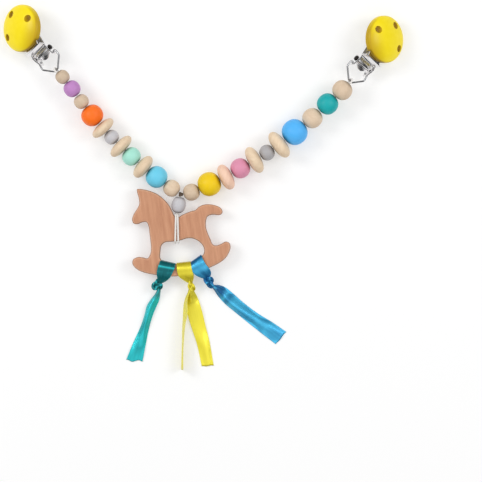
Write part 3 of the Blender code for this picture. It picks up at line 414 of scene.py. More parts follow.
def grid_mesh(points, around=False, along=False, caps=False, uv=None):
    """A mesh over rows of points. around closes each row, along joins the last row to the first,
    and caps closes the end rows with flat faces. uv is how far each row and each column is."""
    rows, columns = points.shape[:2]
    index = np.arange(rows * columns).reshape(rows, columns)
    if along:
        index = np.vstack([index, index[:1]])
    if around:
        index = np.hstack([index, index[:, :1]])
    faces = four_corners(index).reshape(-1, 4).tolist()
    if caps:
        first, last = index[0, :columns].tolist(), index[-1, :columns].tolist()
        faces += [first[::-1], last]
    mesh = bpy.data.meshes.new("grid")
    mesh.from_pydata(points.reshape(-1, 3).tolist(), [], faces)
    if uv is not None:
        layer = mesh.uv_layers.new(name="cloth")
        flat = four_corners(np.stack(np.meshgrid(*uv, indexing="ij"), -1)).reshape(-1, 2)
        spare = np.zeros((len(mesh.loops) - len(flat), 2))
        layer.data.foreach_set("uv", np.vstack([flat, spare]).astype(np.float32).ravel())
    shade_smooth(mesh)
    mesh.update()
    return mesh


def mended(mesh, merge=0, flat_deg=0, outwards=True):
    """A mesh with near points merged, flat faces made whole, and its faces turned outwards."""
    shape = bmesh.new()
    shape.from_mesh(mesh)
    if merge:
        bmesh.ops.remove_doubles(shape, verts=shape.verts, dist=merge)
    if flat_deg:
        bmesh.ops.dissolve_limit(shape, angle_limit=math.radians(flat_deg), verts=shape.verts,
                                 edges=shape.edges)
    if outwards:
        bmesh.ops.recalc_face_normals(shape, faces=shape.faces)
    shape.to_mesh(mesh)
    shape.free()
    return mesh


def finished(data, modifiers=()):
    """The mesh of a mesh or curve after modifiers, each given as its kind and settings."""
    thing = linked("unfinished", data)
    for kind, settings in modifiers:
        settled(thing.modifiers.new(kind.lower(), kind), **settings)
    bpy.context.view_layer.update()
    graph = bpy.context.evaluated_depsgraph_get()
    made = bpy.data.meshes.new_from_object(thing.evaluated_get(graph))
    bpy.data.objects.remove(thing)
    return made


def moved(mesh, matrix):
    """The mesh with its points taken to a place."""
    mesh.transform(Matrix(matrix))
    mesh.update()
    return mesh


def joined(meshes):
    """One mesh that holds the given ones, each a closed shell."""
    shape = bmesh.new()
    for mesh in meshes:
        shape.from_mesh(mesh)
        bpy.data.meshes.remove(mesh)
    made = bpy.data.meshes.new("joined")
    shape.to_mesh(made)
    shape.free()
    return mended(made)


def sweep(path, section, side, closed=False):
    """Points of a section carried along a path, with its first axis as near to the side vector
    as can be, and its second square to that and to the path."""
    if closed:
        ahead = np.roll(path, -1, 0) - np.roll(path, 1, 0)
    else:
        ahead = np.gradient(path, axis=0)
    ahead = unit(ahead)
    side = np.broadcast_to(np.asarray(side, float), path.shape)
    first = unit(side - ahead * (side * ahead).sum(-1, keepdims=True))
    second = np.cross(ahead, first)
    section = np.broadcast_to(section, (len(path),) + section.shape[-2:])
    return path[:, None] + section[..., :1] * first[:, None] + section[..., 1:] * second[:, None]


def tube(path, radius, side=UP, closed=False, sides=16):
    """A round tube along a path, with the distance along it and the share round it as its UV."""
    points = sweep(path, circle(radius, sides), side, closed)
    line = np.vstack([path, path[:1]]) if closed else path
    return grid_mesh(points, around=True, along=closed, caps=not closed,
                     uv=(lengths_along(line), np.arange(sides + 1) / sides))


def turned(radii, heights, steps, **ends):
    """A profile of radii and heights turned round Z."""
    around = angles_round(steps)
    points = np.stack([np.outer(radii, np.cos(around)), np.outer(radii, np.sin(around)),
                       np.outer(heights, np.ones(steps))], -1)
    return grid_mesh(points, around=True, **ends)


# Nodes


def put(tree, kind, settings=None, **sockets):
    """Adds a node, with its settings, and feeds the sockets that are named."""
    node = settled(tree.nodes.new(kind), **(settings or {}))
    for name, value in sockets.items():
        feed(tree, node.inputs[name.replace("_", " ")], value)
    return node


def feed(tree, socket, value):
    """Links a socket to another or to the attribute that a text names, or sets its value."""
    if isinstance(value, str):
        value = put(tree, "ShaderNodeAttribute", {"attribute_name": value}).outputs["Fac"]
    if isinstance(value, bpy.types.NodeSocket):
        tree.links.new(value, socket)
    elif isinstance(value, tuple) and len(value) == 3 and socket.type == "RGBA":
        socket.default_value = (*value, 1)
    else:
        socket.default_value = value


def calc(tree, operation, *values, clamp=False):
    """A Math node over one, two or three values."""
    node = put(tree, "ShaderNodeMath", {"operation": operation, "use_clamp": clamp})
    for socket, value in zip(node.inputs, values):
        feed(tree, socket, value)
    return node.outputs[0]


def times(tree, value, factor, plus=None, clamp=False):
    """A value times a factor, plus another value if there is one."""
    if plus is None:
        return calc(tree, "MULTIPLY", value, factor, clamp=clamp)
    return calc(tree, "MULTIPLY_ADD", value, factor, plus, clamp=clamp)


def mix(tree, share, first, second):
    """The colour that is a share of the way from the first to the second."""
    node = put(tree, "ShaderNodeMix", {"data_type": "RGBA"})
    for number, value in ((0, share), (6, first), (7, second)):
        feed(tree, node.inputs[number], value)
    return node.outputs[2]


def rescale(tree, value, low, high, to_low=0.0, to_high=1.0):
    """A value's span from low to high taken to another span."""
    return put(tree, "ShaderNodeMapRange", Value=value, From_Min=low, From_Max=high,
               To_Min=to_low, To_Max=to_high).outputs[0]


def noise(tree, vector, scale, detail, stretch=None, roughness=0.5):
    """Noise, over a vector whose axes may each be scaled first."""
    if stretch:
        vector = put(tree, "ShaderNodeMapping", Vector=vector, Scale=stretch).outputs[0]
    return put(tree, "ShaderNodeTexNoise", Vector=vector, Scale=scale, Detail=detail,
               Roughness=roughness).outputs[0]


def group(name, inputs, outputs, build):
    """A node group with named sockets, built once: a place, colours and values."""
    tree = bpy.data.node_groups.new(name, "ShaderNodeTree")
    kinds = {"Place": "Vector"} | dict.fromkeys(
        ("Colour", "Pale", "Dark", "Base", "Cloud", "Deep", "Bright"), "Color")
    for way, labels in (("INPUT", inputs), ("OUTPUT", outputs)):
        for label in labels.split():
            kind = f"NodeSocket{kinds.get(label, 'Float')}"
            tree.interface.new_socket(label, in_out=way, socket_type=kind)
    given = tree.nodes.new("NodeGroupInput")
    result = tree.nodes.new("NodeGroupOutput")
    for label, socket in build(tree, given.outputs).items():
        tree.links.new(socket, result.inputs[label])
    return tree


def grain_nodes(tree, given):
    """Wood: broad year rings, streaks and short pores, all drawn out along the grain, X."""
    place = put(tree, "ShaderNodeVectorMath", {"operation": "SCALE"}, Vector=given["Place"],
                Scale=given["Scale"]).outputs[0]
    rings = rescale(tree, noise(tree, place, 0.55, 4.0, (0.1, 1.0, 1.0), 0.55), 0.35, 0.68)
    streaks = rescale(tree, noise(tree, place, 2.2, 3.0, (0.06, 2.6, 2.6), 0.6), 0.42, 0.72)
    pores = rescale(tree, noise(tree, place, 3.2, 2.0, (0.35, 5.0, 5.0)), 0.6, 0.72)
    mask = times(tree, streaks, 0.35, times(tree, rings, 0.5))
    mask = times(tree, pores, 0.45, mask, clamp=True)
    return {"Colour": mix(tree, times(tree, mask, given["Contrast"]), given["Pale"], given["Dark"]),
            "Roughness": times(tree, mask, 0.12, given["Roughness"]),
            "Height": calc(tree, "SUBTRACT", 1.0, mask)}


def mottle_nodes(tree, given):
    """A moulded or sprayed skin: a faint cloudiness in the colour and a fine uneven surface."""
    clouds = rescale(tree, noise(tree, given["Place"], 240.0, 3.0), 0.3, 0.7)
    fine = noise(tree, given["Place"], 5200.0, 2.0)
    share = times(tree, clouds, given["Clouds"])
    return {"Colour": mix(tree, share, given["Base"], given["Cloud"]),
            "Roughness": times(tree, fine, 0.1, given["Roughness"]), "Height": fine}


def satin_nodes(tree, given):
    """Satin ribbon: long warp threads side by side and a woven edge at both sides, and a painted
    sheen: brighter where its warp lies level, and in faint streaks. Its UV runs along it and across
    it."""
    along, across, _ = put(tree, "ShaderNodeSeparateXYZ", Vector=given["Place"]).outputs
    threads = calc(tree, "SINE", times(tree, across, WARP_WAVES))
    weft = calc(tree, "SINE", times(tree, along, WEFT_WAVES))
    edge = calc(tree, "MINIMUM", across, calc(tree, "SUBTRACT", given["Width"], across))
    hem = calc(tree, "SUBTRACT", 1.0, rescale(tree, edge, *HEM), clamp=True)
    streak = noise(tree, given["Place"], 1.0, 2.0, (45.0, 700.0, 1.0))
    streak = rescale(tree, streak, 0.3, 0.7, -0.5, 0.5)
    # Painted sheen: lighter where the warp lies level, and in faint streaks
    light = times(tree, streak, 0.22, given["Level"], clamp=True)
    colour = mix(tree, light, given["Deep"], given["Bright"])
    return {"Colour": mix(tree, times(tree, hem, 0.25), colour, given["Bright"]),
            "Roughness": times(tree, hem, 0.18, times(tree, light, -0.06, 0.34)),
            "Height": times(tree, weft, 0.2, times(tree, hem, 1.5, threads))}


def braid_nodes(tree, given):
    """Braided cord: two sets of strands that cross, with painted shade in the grooves between them.
    Its UV runs along it and round it.
    """
    along, round_it, _ = put(tree, "ShaderNodeSeparateXYZ", Vector=given["Place"]).outputs
    along = times(tree, along, math.tau / BRAID_PITCH)
    round_it = times(tree, round_it, math.tau * BRAID_STRANDS)
    height = calc(tree, "MAXIMUM", *(calc(tree, "SINE", calc(tree, way, along, round_it))
                                     for way in ("ADD", "SUBTRACT")))
    # Painted shade in the grooves, lighter on the strands' crests
    return {"Colour": mix(tree, rescale(tree, height, -0.4, 0.7), given["Deep"], given["Bright"]),
            "Height": height}


def steel_nodes(tree, given):
    """Plated steel: fine rolling lines along X and a slight cloud of handling."""
    lines = noise(tree, given["Place"], 1.0, 2.0, (300.0, 9000.0, 9000.0))
    clouds = noise(tree, given["Place"], 900.0, 3.0)
    return {"Colour": mix(tree, clouds, given["Deep"], given["Bright"]),
            "Roughness": times(tree, clouds, 0.1, times(tree, lines, 0.08, 0.12)), "Height": lines}


# The weave's waves for each metre across and along, and where its woven edge ends
WARP_WAVES = 36000.0
WEFT_WAVES = 21000.0
HEM = (0.0004, 0.0008)
BRAID_PITCH = 0.0011
BRAID_STRANDS = 4

SKIN = "Colour Roughness Height"
GRAIN = group("wood_grain", "Place Scale Contrast Roughness Pale Dark", SKIN, grain_nodes)
MOTTLE = group("soft_mottle", "Place Clouds Roughness Base Cloud", SKIN, mottle_nodes)
SATIN = group("satin_weave", "Place Width Level Deep Bright", SKIN, satin_nodes)
BRAID = group("cord_braid", "Place Deep Bright", "Colour Height", braid_nodes)
STEEL = group("rolled_steel", "Place Deep Bright", SKIN, steel_nodes)


# Materials


def material(name, plain, look=None, bump=None, place="Object", turn_deg=None, **given):
    """A material: plain values on its shader, and a group that gives its colour, its roughness
    and the height of its bump, which has a strength and a depth."""
    made = bpy.data.materials.new(name)
    made.use_nodes = True
    tree = made.node_tree
    shader = tree.nodes["Principled BSDF"]
    for socket, value in plain.items():
        feed(tree, shader.inputs[socket], value)
    if not look:
        return made
    where = tree.nodes.new("ShaderNodeTexCoord").outputs[place]
    if turn_deg:
        where = put(tree, "ShaderNodeMapping", Vector=where,
                    Rotation=tuple(map(math.radians, turn_deg))).outputs[0]
    skin = put(tree, "ShaderNodeGroup", {"node_tree": look}, Place=where, **given).outputs
    tree.links.new(skin["Colour"], shader.inputs["Base Color"])
    if "Roughness" in skin:
        tree.links.new(skin["Roughness"], shader.inputs["Roughness"])
    if bump:
        uneven = put(tree, "ShaderNodeBump", Height=skin["Height"], Strength=bump[0],
                     Distance=bump[1])
        tree.links.new(uneven.outputs[0], shader.inputs["Normal"])
    return made


def overlay(made, label, amount, shade):
    """Mixes a shade, or one made of its own colour, into a material by an attribute."""
    tree = made.node_tree
    socket = tree.nodes["Principled BSDF"].inputs["Base Color"]
    colour = socket.links[0].from_socket
    if callable(shade):
        shade = shade(tree, colour)
    tree.links.new(mix(tree, times(tree, label, amount), colour, shade), socket)
    return made


def contact_shade(tree, colour):
    """A bead's colour darkened round its bore: painted shade where it touches its neighbours."""
    return put(tree, "ShaderNodeHueSaturation", Saturation=1.15, Value=0.42,
               Color=colour).outputs[0]


def wood(name, tones, scale, contrast, turn_deg, roughness):
    """Sanded wood, with its grain turned to lie along the piece."""
    return material(name, {"Specular IOR Level": 0.25}, GRAIN, (0.25, 0.0001), turn_deg=turn_deg,
                    Scale=scale, Contrast=contrast, Roughness=roughness, Pale=tones[0],
                    Dark=tones[1])


def board_wood(name, tones):
    """A sanded board: fine grain, a painted highlight where its edges start to round, and
    painted shade with the darker tone of end grain on its steep sides.
    """
    # Painted highlight on the edges, then painted shade with end grain's tone on the sides
    made = overlay(wood(name, tones, 620.0, 0.9, (0, 0, 83), 0.5), "edge_highlight", 0.3, EDGE_HIGHLIGHT_BEECH)
    return overlay(made, "side_shade_and_end_grain", 0.75, SIDE_SHADE_AND_END_GRAIN)


def silicone(name, colour):
    """Moulded silicone, matt with a soft sheen of light."""
    return material(name, {"Specular IOR Level": 0.22}, MOTTLE, (0.1, 0.00003), Clouds=0.35,
                    Roughness=0.38, Base=colour, Cloud=tuple(0.95 * part + 0.05 for part in colour))


def lacquer(name, colour):
    """Painted wood with a silky coat, with painted shade towards the rim and the high side, in the
    pocket's mouth and in the vents.
    """
    made = material(
        name, {"Specular IOR Level": 0.25, "Coat Weight": 0.1, "Coat Roughness": 0.25},
        MOTTLE, (0.12, 0.00004), Clouds=0.5, Roughness=0.36, Base=colour,
        Cloud=tuple(min(1.0, 1.05 * part + 0.02) for part in colour))
    # Painted shade towards the disc's rim and its high side
    overlay(made, "disc_shade", 1.0, PAINTED_DISC_SHADE)
    # Painted shade in the pocket's mouth
    overlay(made, "mouth", 0.7, MOUTH_SHADE)
    # Painted shade inside the vents
    return overlay(made, "vent_inside_shade", 1.0, VENT_SHADE)


def satin(name, ribbon):
    return material(name, {"Specular IOR Level": 0.4, "Metallic": 0.4}, SATIN, (0.25, 0.00003),
                    "UV", Width=ribbon["width"], Level="level", Deep=ribbon["deep"],
                    Bright=ribbon["bright"])


def braided(name, deep, bright):
    return material(name, {"Roughness": 0.75, "Sheen Weight": 0.3}, BRAID, (0.6, 0.0001), "UV",
                    Deep=deep, Bright=bright)


def steel(name, deep, bright, turn_deg=None):
    return material(name, {"Metallic": 1.0}, STEEL, (0.08, 0.00002), turn_deg=turn_deg, Deep=deep,
                    Bright=bright)


# Camera, table and light


def make_sky():
    """Light from a white ceiling, dimmer towards the walls, which look pale to the camera."""
    world = bpy.data.worlds.new("studio")
    bpy.context.scene.world = world
    world.use_nodes = True
    tree = world.node_tree
    ahead = tree.nodes.new("ShaderNodeTexCoord").outputs["Generated"]
    rise = put(tree, "ShaderNodeSeparateXYZ", Vector=ahead).outputs[2]
    rise = calc(tree, "POWER", calc(tree, "MAXIMUM", rise, 0.0), SKY_POWER)
    light = rescale(tree, rise, 0.0, 1.0, *SKY)
    mirrored = rescale(tree, rise, *MIRRORED)
    path = tree.nodes.new("ShaderNodeLightPath").outputs
    for ray, other in (("Is Glossy Ray", mirrored), ("Is Camera Ray", BACKDROP)):
        light = times(tree, path[ray], calc(tree, "SUBTRACT", other, light), light)
    feed(tree, tree.nodes["Background"].inputs["Color"], (1, 1, 1))
    feed(tree, tree.nodes["Background"].inputs["Strength"], light)


def make_stage():
    """A pale table, soft light from above, and a camera that looks straight down."""
    centre, = at_px((PICTURE_PX / 2, PICTURE_PX / 2))
    lens = settled(bpy.data.cameras.new("camera"), sensor_width=SENSOR * 1000, clip_start=0.1,
                   clip_end=20, lens=SENSOR * 1000 * CAMERA_HEIGHT / (PICTURE_PX * PIXEL))
    camera = linked("camera", lens)
    camera.location = (*centre, CAMERA_HEIGHT + HORSE_THICKNESS)
    bpy.context.scene.camera = camera
    table = grid_mesh(np.array([[(x, y, 0) for x in TABLE_EDGES] for y in TABLE_EDGES]))
    white = material("table_white", {"Base Color": (0.6, 0.6, 0.6), "Roughness": 0.9,
                                     "Emission Color": (1.0, 1.0, 1.0),
                                     "Emission Strength": TABLE_GLOW})
    piece("table", table, white)
    make_sky()
    for name, (place, width, power) in LAMPS.items():
        light = bpy.data.lights.new(name, "AREA")
        lamp = linked(name, settled(light, shape="DISK", size=width, energy=power))
        lamp.location = place
        lamp.rotation_euler = (-Vector(place)).to_track_quat("-Z", "Y").to_euler()
    bpy.context.scene.view_settings.view_transform = "Standard"


# Beads


def bead_surface(diameter, length, power, bore, steps=56):
    """A bead turned round Z. Outside, radius and height follow |r/R|^p + |z/H|^p = 1, cut off
    where it meets the round rim of the bore, which is a plain cylinder."""
    radius, bore = diameter / 2, bore / 2
    rim = min(RIM, (radius - bore) / 5)
    meet = bore + rim
    reach = length / 2 / (1 - (meet / radius) ** power) ** (1 / power)
    angle = math.acos((meet / radius) ** (power / 2)) * np.sin(np.linspace(-1, 1, 33) * math.pi / 2)
    bend = np.linspace(0.25, 1, 4) * math.pi / 2
    lip, top = meet - rim * np.sin(bend), length / 2 - rim * (1 - np.cos(bend))
    outside = radius * np.cos(angle) ** (2 / power)
    radii = np.concatenate([outside, lip, np.full(3, bore), lip[::-1]])
    heights = np.concatenate([reach * np.sign(angle) * np.abs(np.sin(angle)) ** (2 / power), top,
                              np.linspace(top[-1], -top[-1], 5)[1:-1], -top[::-1]])
    mesh = turned(radii, heights, steps, along=True)
    # The ends round the bore are kept for painted shade where beads touch
    shaded_from = 0.72
    end = smooth_step((np.abs(heights) * 2 / length - shaded_from) / (1 - shaded_from))
    keep(mesh, "end", np.repeat(end, steps))
    return mesh


def bead_material(node, look, number):
    """Wood with a grain of its own, or the silicone that beads of a colour share."""
    tone = OWN_LOOKS.get(node, look)
    if look in ("wood", "lens"):
        pale, dark = np.array(BEAD_LOOKS[tone]) * TONE_SHARES.get(node, 1)
        tones = tuple(map(float, pale)), tuple(map(float, dark))
        turn_deg = (0, 40 - 13 * (number % 5), 25 + 47 * number)
        made = wood(f"bead_{tone}_{number}", tones, 700.0, 0.75, turn_deg, 0.55)
    elif f"silicone_{tone}" in bpy.data.materials:
        return bpy.data.materials[f"silicone_{tone}"]
    else:
        made = silicone(f"silicone_{tone}", BEAD_LOOKS[tone])
    # Painted shade round the bore, where the bead touches its neighbours
    return overlay(made, "end", 0.8, contact_shade)


def make_beads():
    """A smooth bead for each faceted one, of the same diameter and length, but never lower."""
    for number, joint in enumerate(SPINS):
        node = joint["name"].removeprefix("spin_")
        look = node.split("_", 3)[-1] if node != "bead_pendant_grey" else "grey"
        centre, axis = np.array(joint["pos_m"]), unit(np.array(joint["axis"]))
        points = coordinates(frame["nodes"][node].data)
        away = points - centre
        height = away @ axis
        diameter = 2 * np.linalg.norm(away - height[:, None] * axis, axis=1).max()
        shape = (2 * height.max(), LENS_POWER if look == "lens" else SPHERE_POWER,
                 PENDANT_BORE if node == "bead_pendant_grey" else BEAD_BORE)
        place = axis_matrix(centre, axis)
        trial = moved(bead_surface(diameter, *shape), place)
        diameter -= 2 * max(0, points[:, 2].min() - coordinates(trial)[:, 2].min())
        bpy.data.meshes.remove(trial)
        mesh = mended(moved(bead_surface(diameter, *shape), place))
        piece(f"{node}_turned", mesh, bead_material(node, look, number), node, [node])


# Cord


def make_cords():
    """The cord of each leg, stretch by stretch, from its bend through its beads to the next."""
    knot = joint_at("chain_swing")
    for side in SIDES:
        bends = [knot, *(joint_at(name) for name in (
            f"cord_{side}_2_bend", f"cord_{side}_3_lift", f"cord_{side}_4_bend",
            f"cord_{side}_5_lift", f"bail_{side}_swing"))]
        wire = np.array(JOINTS[f"bail_{side}_swing"]["axis"])
        for number in range(1, 6):
            body = f"cord_{side}_{number}"
            centres = [joint["pos_m"] for joint in SPINS if joint["parent"] == body]
            line = smooth_line([bends[number - 1], *centres, bends[number]], 10)
            loop = BAIL_WIRE / 2 + FIT + CORD_DIAMETER / 2
            path = spaced(line, KNOT_CLEAR if number == 1 else FIT / 2,
                          loop if number == 5 else FIT / 2, 40)
            meshes = [tube(path, CORD_DIAMETER / 2)]
            if number == 5:
                ahead = unit(path[-1] - path[-2])
                ring = circle(loop, 24)
                ring = bends[-1] + ring[:, :1] * ahead + ring[:, 1:] * np.cross(wire, ahead)
                meshes.append(tube(ring, CORD_DIAMETER / 2, wire, closed=True))
            piece(f"{body}_braid", joined(meshes), CORD, body, [body])
    line = moved(tube(trefoil(LEG_KNOT), CORD_DIAMETER / 2.4, closed=True),
                 axis_matrix(knot, (0, 0.25, 1), (0, 1, 0)))
    # The knot's cord is painted dark brown, as shade between the beads
    piece("knot_tied", mended(line), KNOT_SHADE_CORD, "knot", ["knot"])


# Horse and its cord


def board(outlines, thickness, edge):
    """A board with the given outlines, its edges rounded, round Z = 0."""
    curve = settled(bpy.data.curves.new("board", "CURVE"), dimensions="2D", fill_mode="BOTH",
                    extrude=thickness / 2 - edge, bevel_depth=edge, bevel_resolution=3,
                    offset=-edge)
    for outline in outlines:
        spline = curve.splines.new("POLY")
        spline.points.add(len(outline) - 1)
        flat = np.hstack([outline, np.zeros((len(outline), 1)), np.ones((len(outline), 1))])
        spline.points.foreach_set("co", flat.ravel())
        spline.use_cyclic_u = True
    return mended(finished(curve), merge=0.000002)


def make_horse():
    """The rocking horse: its board remeshed finely and smoothed, so that every edge is soft."""
    outlines = [smooth_line(at_px(line), 6, closed=True) for line in
                (HORSE_OUTLINE_PX, HORSE_BELLY_PX)]
    mesh = finished(board(outlines, HORSE_THICKNESS, HORSE_EDGE), [
        ("REMESH", {"mode": "VOXEL", "voxel_size": HORSE_VOXEL, "use_smooth_shade": True}),
        ("SMOOTH", {"factor": 0.5, "iterations": 8}),
    ])
    moved(mesh, Matrix.Translation((*HORSE_SHIFT, HORSE_MIDDLE)))
    facing = np.abs(coordinates(mesh, "normal")[:, 2])
    # A painted highlight where the edges start to round, and painted shade on the steep sides
    for label, (start, full) in {"edge_highlight": (0.985, 0.9), "side_shade_and_end_grain": (0.72, 0.35)}.items():
        keep(mesh, label, smooth_step((start - facing) / (start - full)))
    piece("horse_sanded", mesh, board_wood("beech", BEECH), "horse", ["horse"])


def make_horse_cord():
    """Two turns round the horse's body, a hitch on its back, and two strands up to the knot. A
    turn is a box with round corners, and the two turns lean together towards the top."""
    knot = joint_at("chain_swing")
    down = unit(joint_at("spin_bead_pendant_grey") - knot)
    hitch = knot + down * PENDANT_REACH
    radius = STRAND_DIAMETER / 2
    top = hitch[1] - HITCH_RADIUS + radius
    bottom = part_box("horse_cord")[0][1] + radius
    half_depth = (HORSE_THICKNESS + STRAND_DIAMETER) / 2 + FIT
    half_height = (top - bottom) / 2
    angle = np.linspace(0, math.pi / 2, 7)
    arc = np.stack([np.cos(angle), np.sin(angle)], -1) * TURN_CORNER
    corner = (half_height - TURN_CORNER, half_depth - TURN_CORNER)
    line = np.vstack([(bow + corner) * ways for bow, ways in (
        (arc, (1, 1)), (arc[::-1], (-1, 1)), (arc, (-1, -1)), (arc[::-1], (1, -1)))])
    flat = spaced(np.vstack([line, line[:1]]), 0, 0, 121)[:-1]
    across = unit(np.cross(down, UP))
    meshes = []
    for offset in (-STRANDS_APART / 2, STRANDS_APART / 2):
        lean = hitch[0] + offset * (1 - TURNS_FAN * (flat[:, :1] / half_height))
        path = np.hstack([lean, ((top + bottom) / 2, HORSE_MIDDLE) + flat])
        meshes.append(tube(path, radius, (1, 0, 0), closed=True))
        start, end = (place + across * offset for place in (knot + down * KNOT_CLEAR, hitch))
        meshes.append(tube(start + (end - start) * np.linspace(0, 1, 16)[:, None], radius))
    meshes.append(moved(tube(trefoil(HITCH_KNOT), STRAND_DIAMETER / 2.6, closed=True),
                        axis_matrix(hitch, (0.2, 0.1, 1), (0, 1, 0))))
    piece("horse_cord_braid", joined(meshes), CORD, "horse", ["horse_cord"])


# Clips


def clip_matrix(side):
    """A clip's own frame: X across it, Y from the disc's centre to the bail, Z out of its face."""
    mount = MOUNTS[f"clip_{side}_back"]
    matrix = axis_matrix((0, 0, 0), -np.array(mount["axis"]), JOINTS[f"clip_{side}_lever"]["axis"])
    matrix[:3, 3] = np.array(mount["pos_m"]) - matrix[:3, :3] @ MOUNT_PLACE
    return matrix


def disc_mesh():
    """The wooden disc: a dome r = R sin a, z = side + dome cos a, with a pocket and three vents
    cut in it, then remeshed finely and smoothed. It keeps masks for painted shade inside the vents
    and in the pocket's mouth."""
    dome = np.linspace(0.02, math.pi / 2, 30)
    edge = np.linspace(0, math.pi / 2, 6)
    radii = [DISC_RADIUS * np.sin(dome), DISC_RADIUS - DISC_EDGE * (1 - np.cos(edge)),
             [DISC_RADIUS / 2, 0.0005]]
    heights = [DISC_SIDE + DISC_DOME * np.cos(dome), DISC_EDGE * (1 - np.sin(edge)), [0, 0]]
    below, above, beyond, half = -0.002, 0.012, 0.02, POCKET_WIDTH / 2
    pocket = np.array([[(-half, -POCKET_START, z), (half, -POCKET_START, z), (half, beyond, z),
                        (-half, beyond, z)] for z in (below, POCKET_DEPTH)])
    cutters = [tube(np.array([(*vent, below), (*vent, above)]), VENT_DIAMETER / 2, (1, 0, 0),
                    sides=40) for vent in VENTS]
    cutters.append(grid_mesh(pocket, around=True, caps=True))
    cutters = [linked("cutter", mended(mesh)) for mesh in cutters]
    whole = turned(np.concatenate(radii), np.concatenate(heights), 96, caps=True)
    mesh = finished(mended(whole), [
        *(("BOOLEAN", {"operation": "DIFFERENCE", "object": cutter, "solver": "EXACT"})
          for cutter in cutters),
        ("REMESH", {"mode": "VOXEL", "voxel_size": DISC_VOXEL, "use_smooth_shade": True}),
        ("SMOOTH", {"factor": 0.5, "iterations": 5}),
    ])
    for cutter in cutters:
        bpy.data.objects.remove(cutter)
    x, y, _ = coordinates(mesh).T
    off = np.min([np.hypot(x - across, y - along) for across, along in VENTS], axis=0)
    ring, rim_from, mouth_from = 0.0002, 0.0172, 0.015
    # Painted shade inside each vent, out to a thin ring round its lip
    keep(mesh, "vent_inside_shade", np.clip((VENT_DIAMETER / 2 + ring - off) / (DISC_SOFT / 2), 0, 1))
    # Painted shade in the pocket's mouth, near the rim on the bail's side
    keep(mesh, "mouth", smooth_step((np.hypot(x, y) - rim_from) / DISC_SOFT)
         * smooth_step((y - mouth_from) / (DISC_SOFT * 2)))
    return mesh


def paint_disc_shade(mesh, high):
    """Keeps on a disc where painted shade darkens its lacquer, towards the rim and the high side.
    """
    x, y, _ = coordinates(mesh).T
    slant, rim_from, shade_from, shade_reach = 0.65, 0.0166, 0.003, 0.017
    rim_shade_from, rim_shade_reach = -0.002, 0.008
    towards = (y + slant * high * x) / math.hypot(1, slant)
    rim = smooth_step((np.hypot(x, y) - rim_from) / (DISC_SOFT * 2))
    disc_shade = smooth_step((towards - shade_from) / shade_reach) ** 1.3
    disc_shade += 0.5 * rim * smooth_step((towards - rim_shade_from) / rim_shade_reach)
    keep(mesh, "disc_shade", np.clip(disc_shade, 0, 1))
    return mesh


def refined(node, bevel):
    """A CAD node's shape with whole flat faces and broken edges."""
    mesh = mended(frame["nodes"][node].data.copy(), merge=0.000001, flat_deg=1, outwards=False)
    return break_sharp(finished(mesh, [
        ("BEVEL", {"width": bevel, "segments": 2, "limit_method": "ANGLE",
                   "angle_limit": math.radians(40), "harden_normals": False}),
    ]))


def bail_path(fine=8):
    """The bail's bent wire, in its own plane: corners joined by arcs that touch both sides."""
    half = np.array(BAIL_HALF)
    corners = np.vstack([half, (half * (-1, 1))[::-1]])
    bends = BAIL_BENDS + BAIL_BENDS[::-1]
    share = np.linspace(0, 1, fine)[:, None]
    line = [corners[:1]]
    for before, corner, after, radius in zip(corners, corners[1:], corners[2:], bends):
        back, on = unit(before - corner), unit(after - corner)
        half_angle = math.acos(np.clip(back @ on, -1, 1)) / 2
        centre = corner + unit(back + on) * radius / math.sin(half_angle)
        start, end = (corner + way * radius / math.tan(half_angle) - centre for way in (back, on))
        line.append(centre + unit(start * (1 - share) + end * share) * radius)
    line = np.vstack([*line, corners[-1:]])
    return np.pad(line, ((0, 0), (0, 1)))


def pin_mesh(side, axis):
    """A hinge pin round its own axis, with a head at both ends: r = R sin a, z = dome cos a."""
    points = coordinates(frame["nodes"][f"hinge_pin_{side}"].data)
    centre = (points.min(0) + points.max(0)) / 2
    along = (points - centre) @ axis
    half = np.abs(along).max()
    radius = np.linalg.norm((points - centre) - np.outer(along, axis), axis=1).max()
    angle = np.linspace(0.03, 1, 9) * math.pi / 2
    radii = np.concatenate([PIN_HEAD * np.sin(angle), [PIN_HEAD, radius, radius]])
    heights = np.concatenate([half + PIN_DOME * np.cos(angle),
                              [half - PIN_NECK, half - PIN_NECK, half * 0.5]])
    pin = turned(np.concatenate([radii, radii[::-1]]),
                 np.concatenate([heights, -heights[::-1]]), 32, caps=True)
    return moved(break_sharp(mended(pin)), axis_matrix(centre, axis))


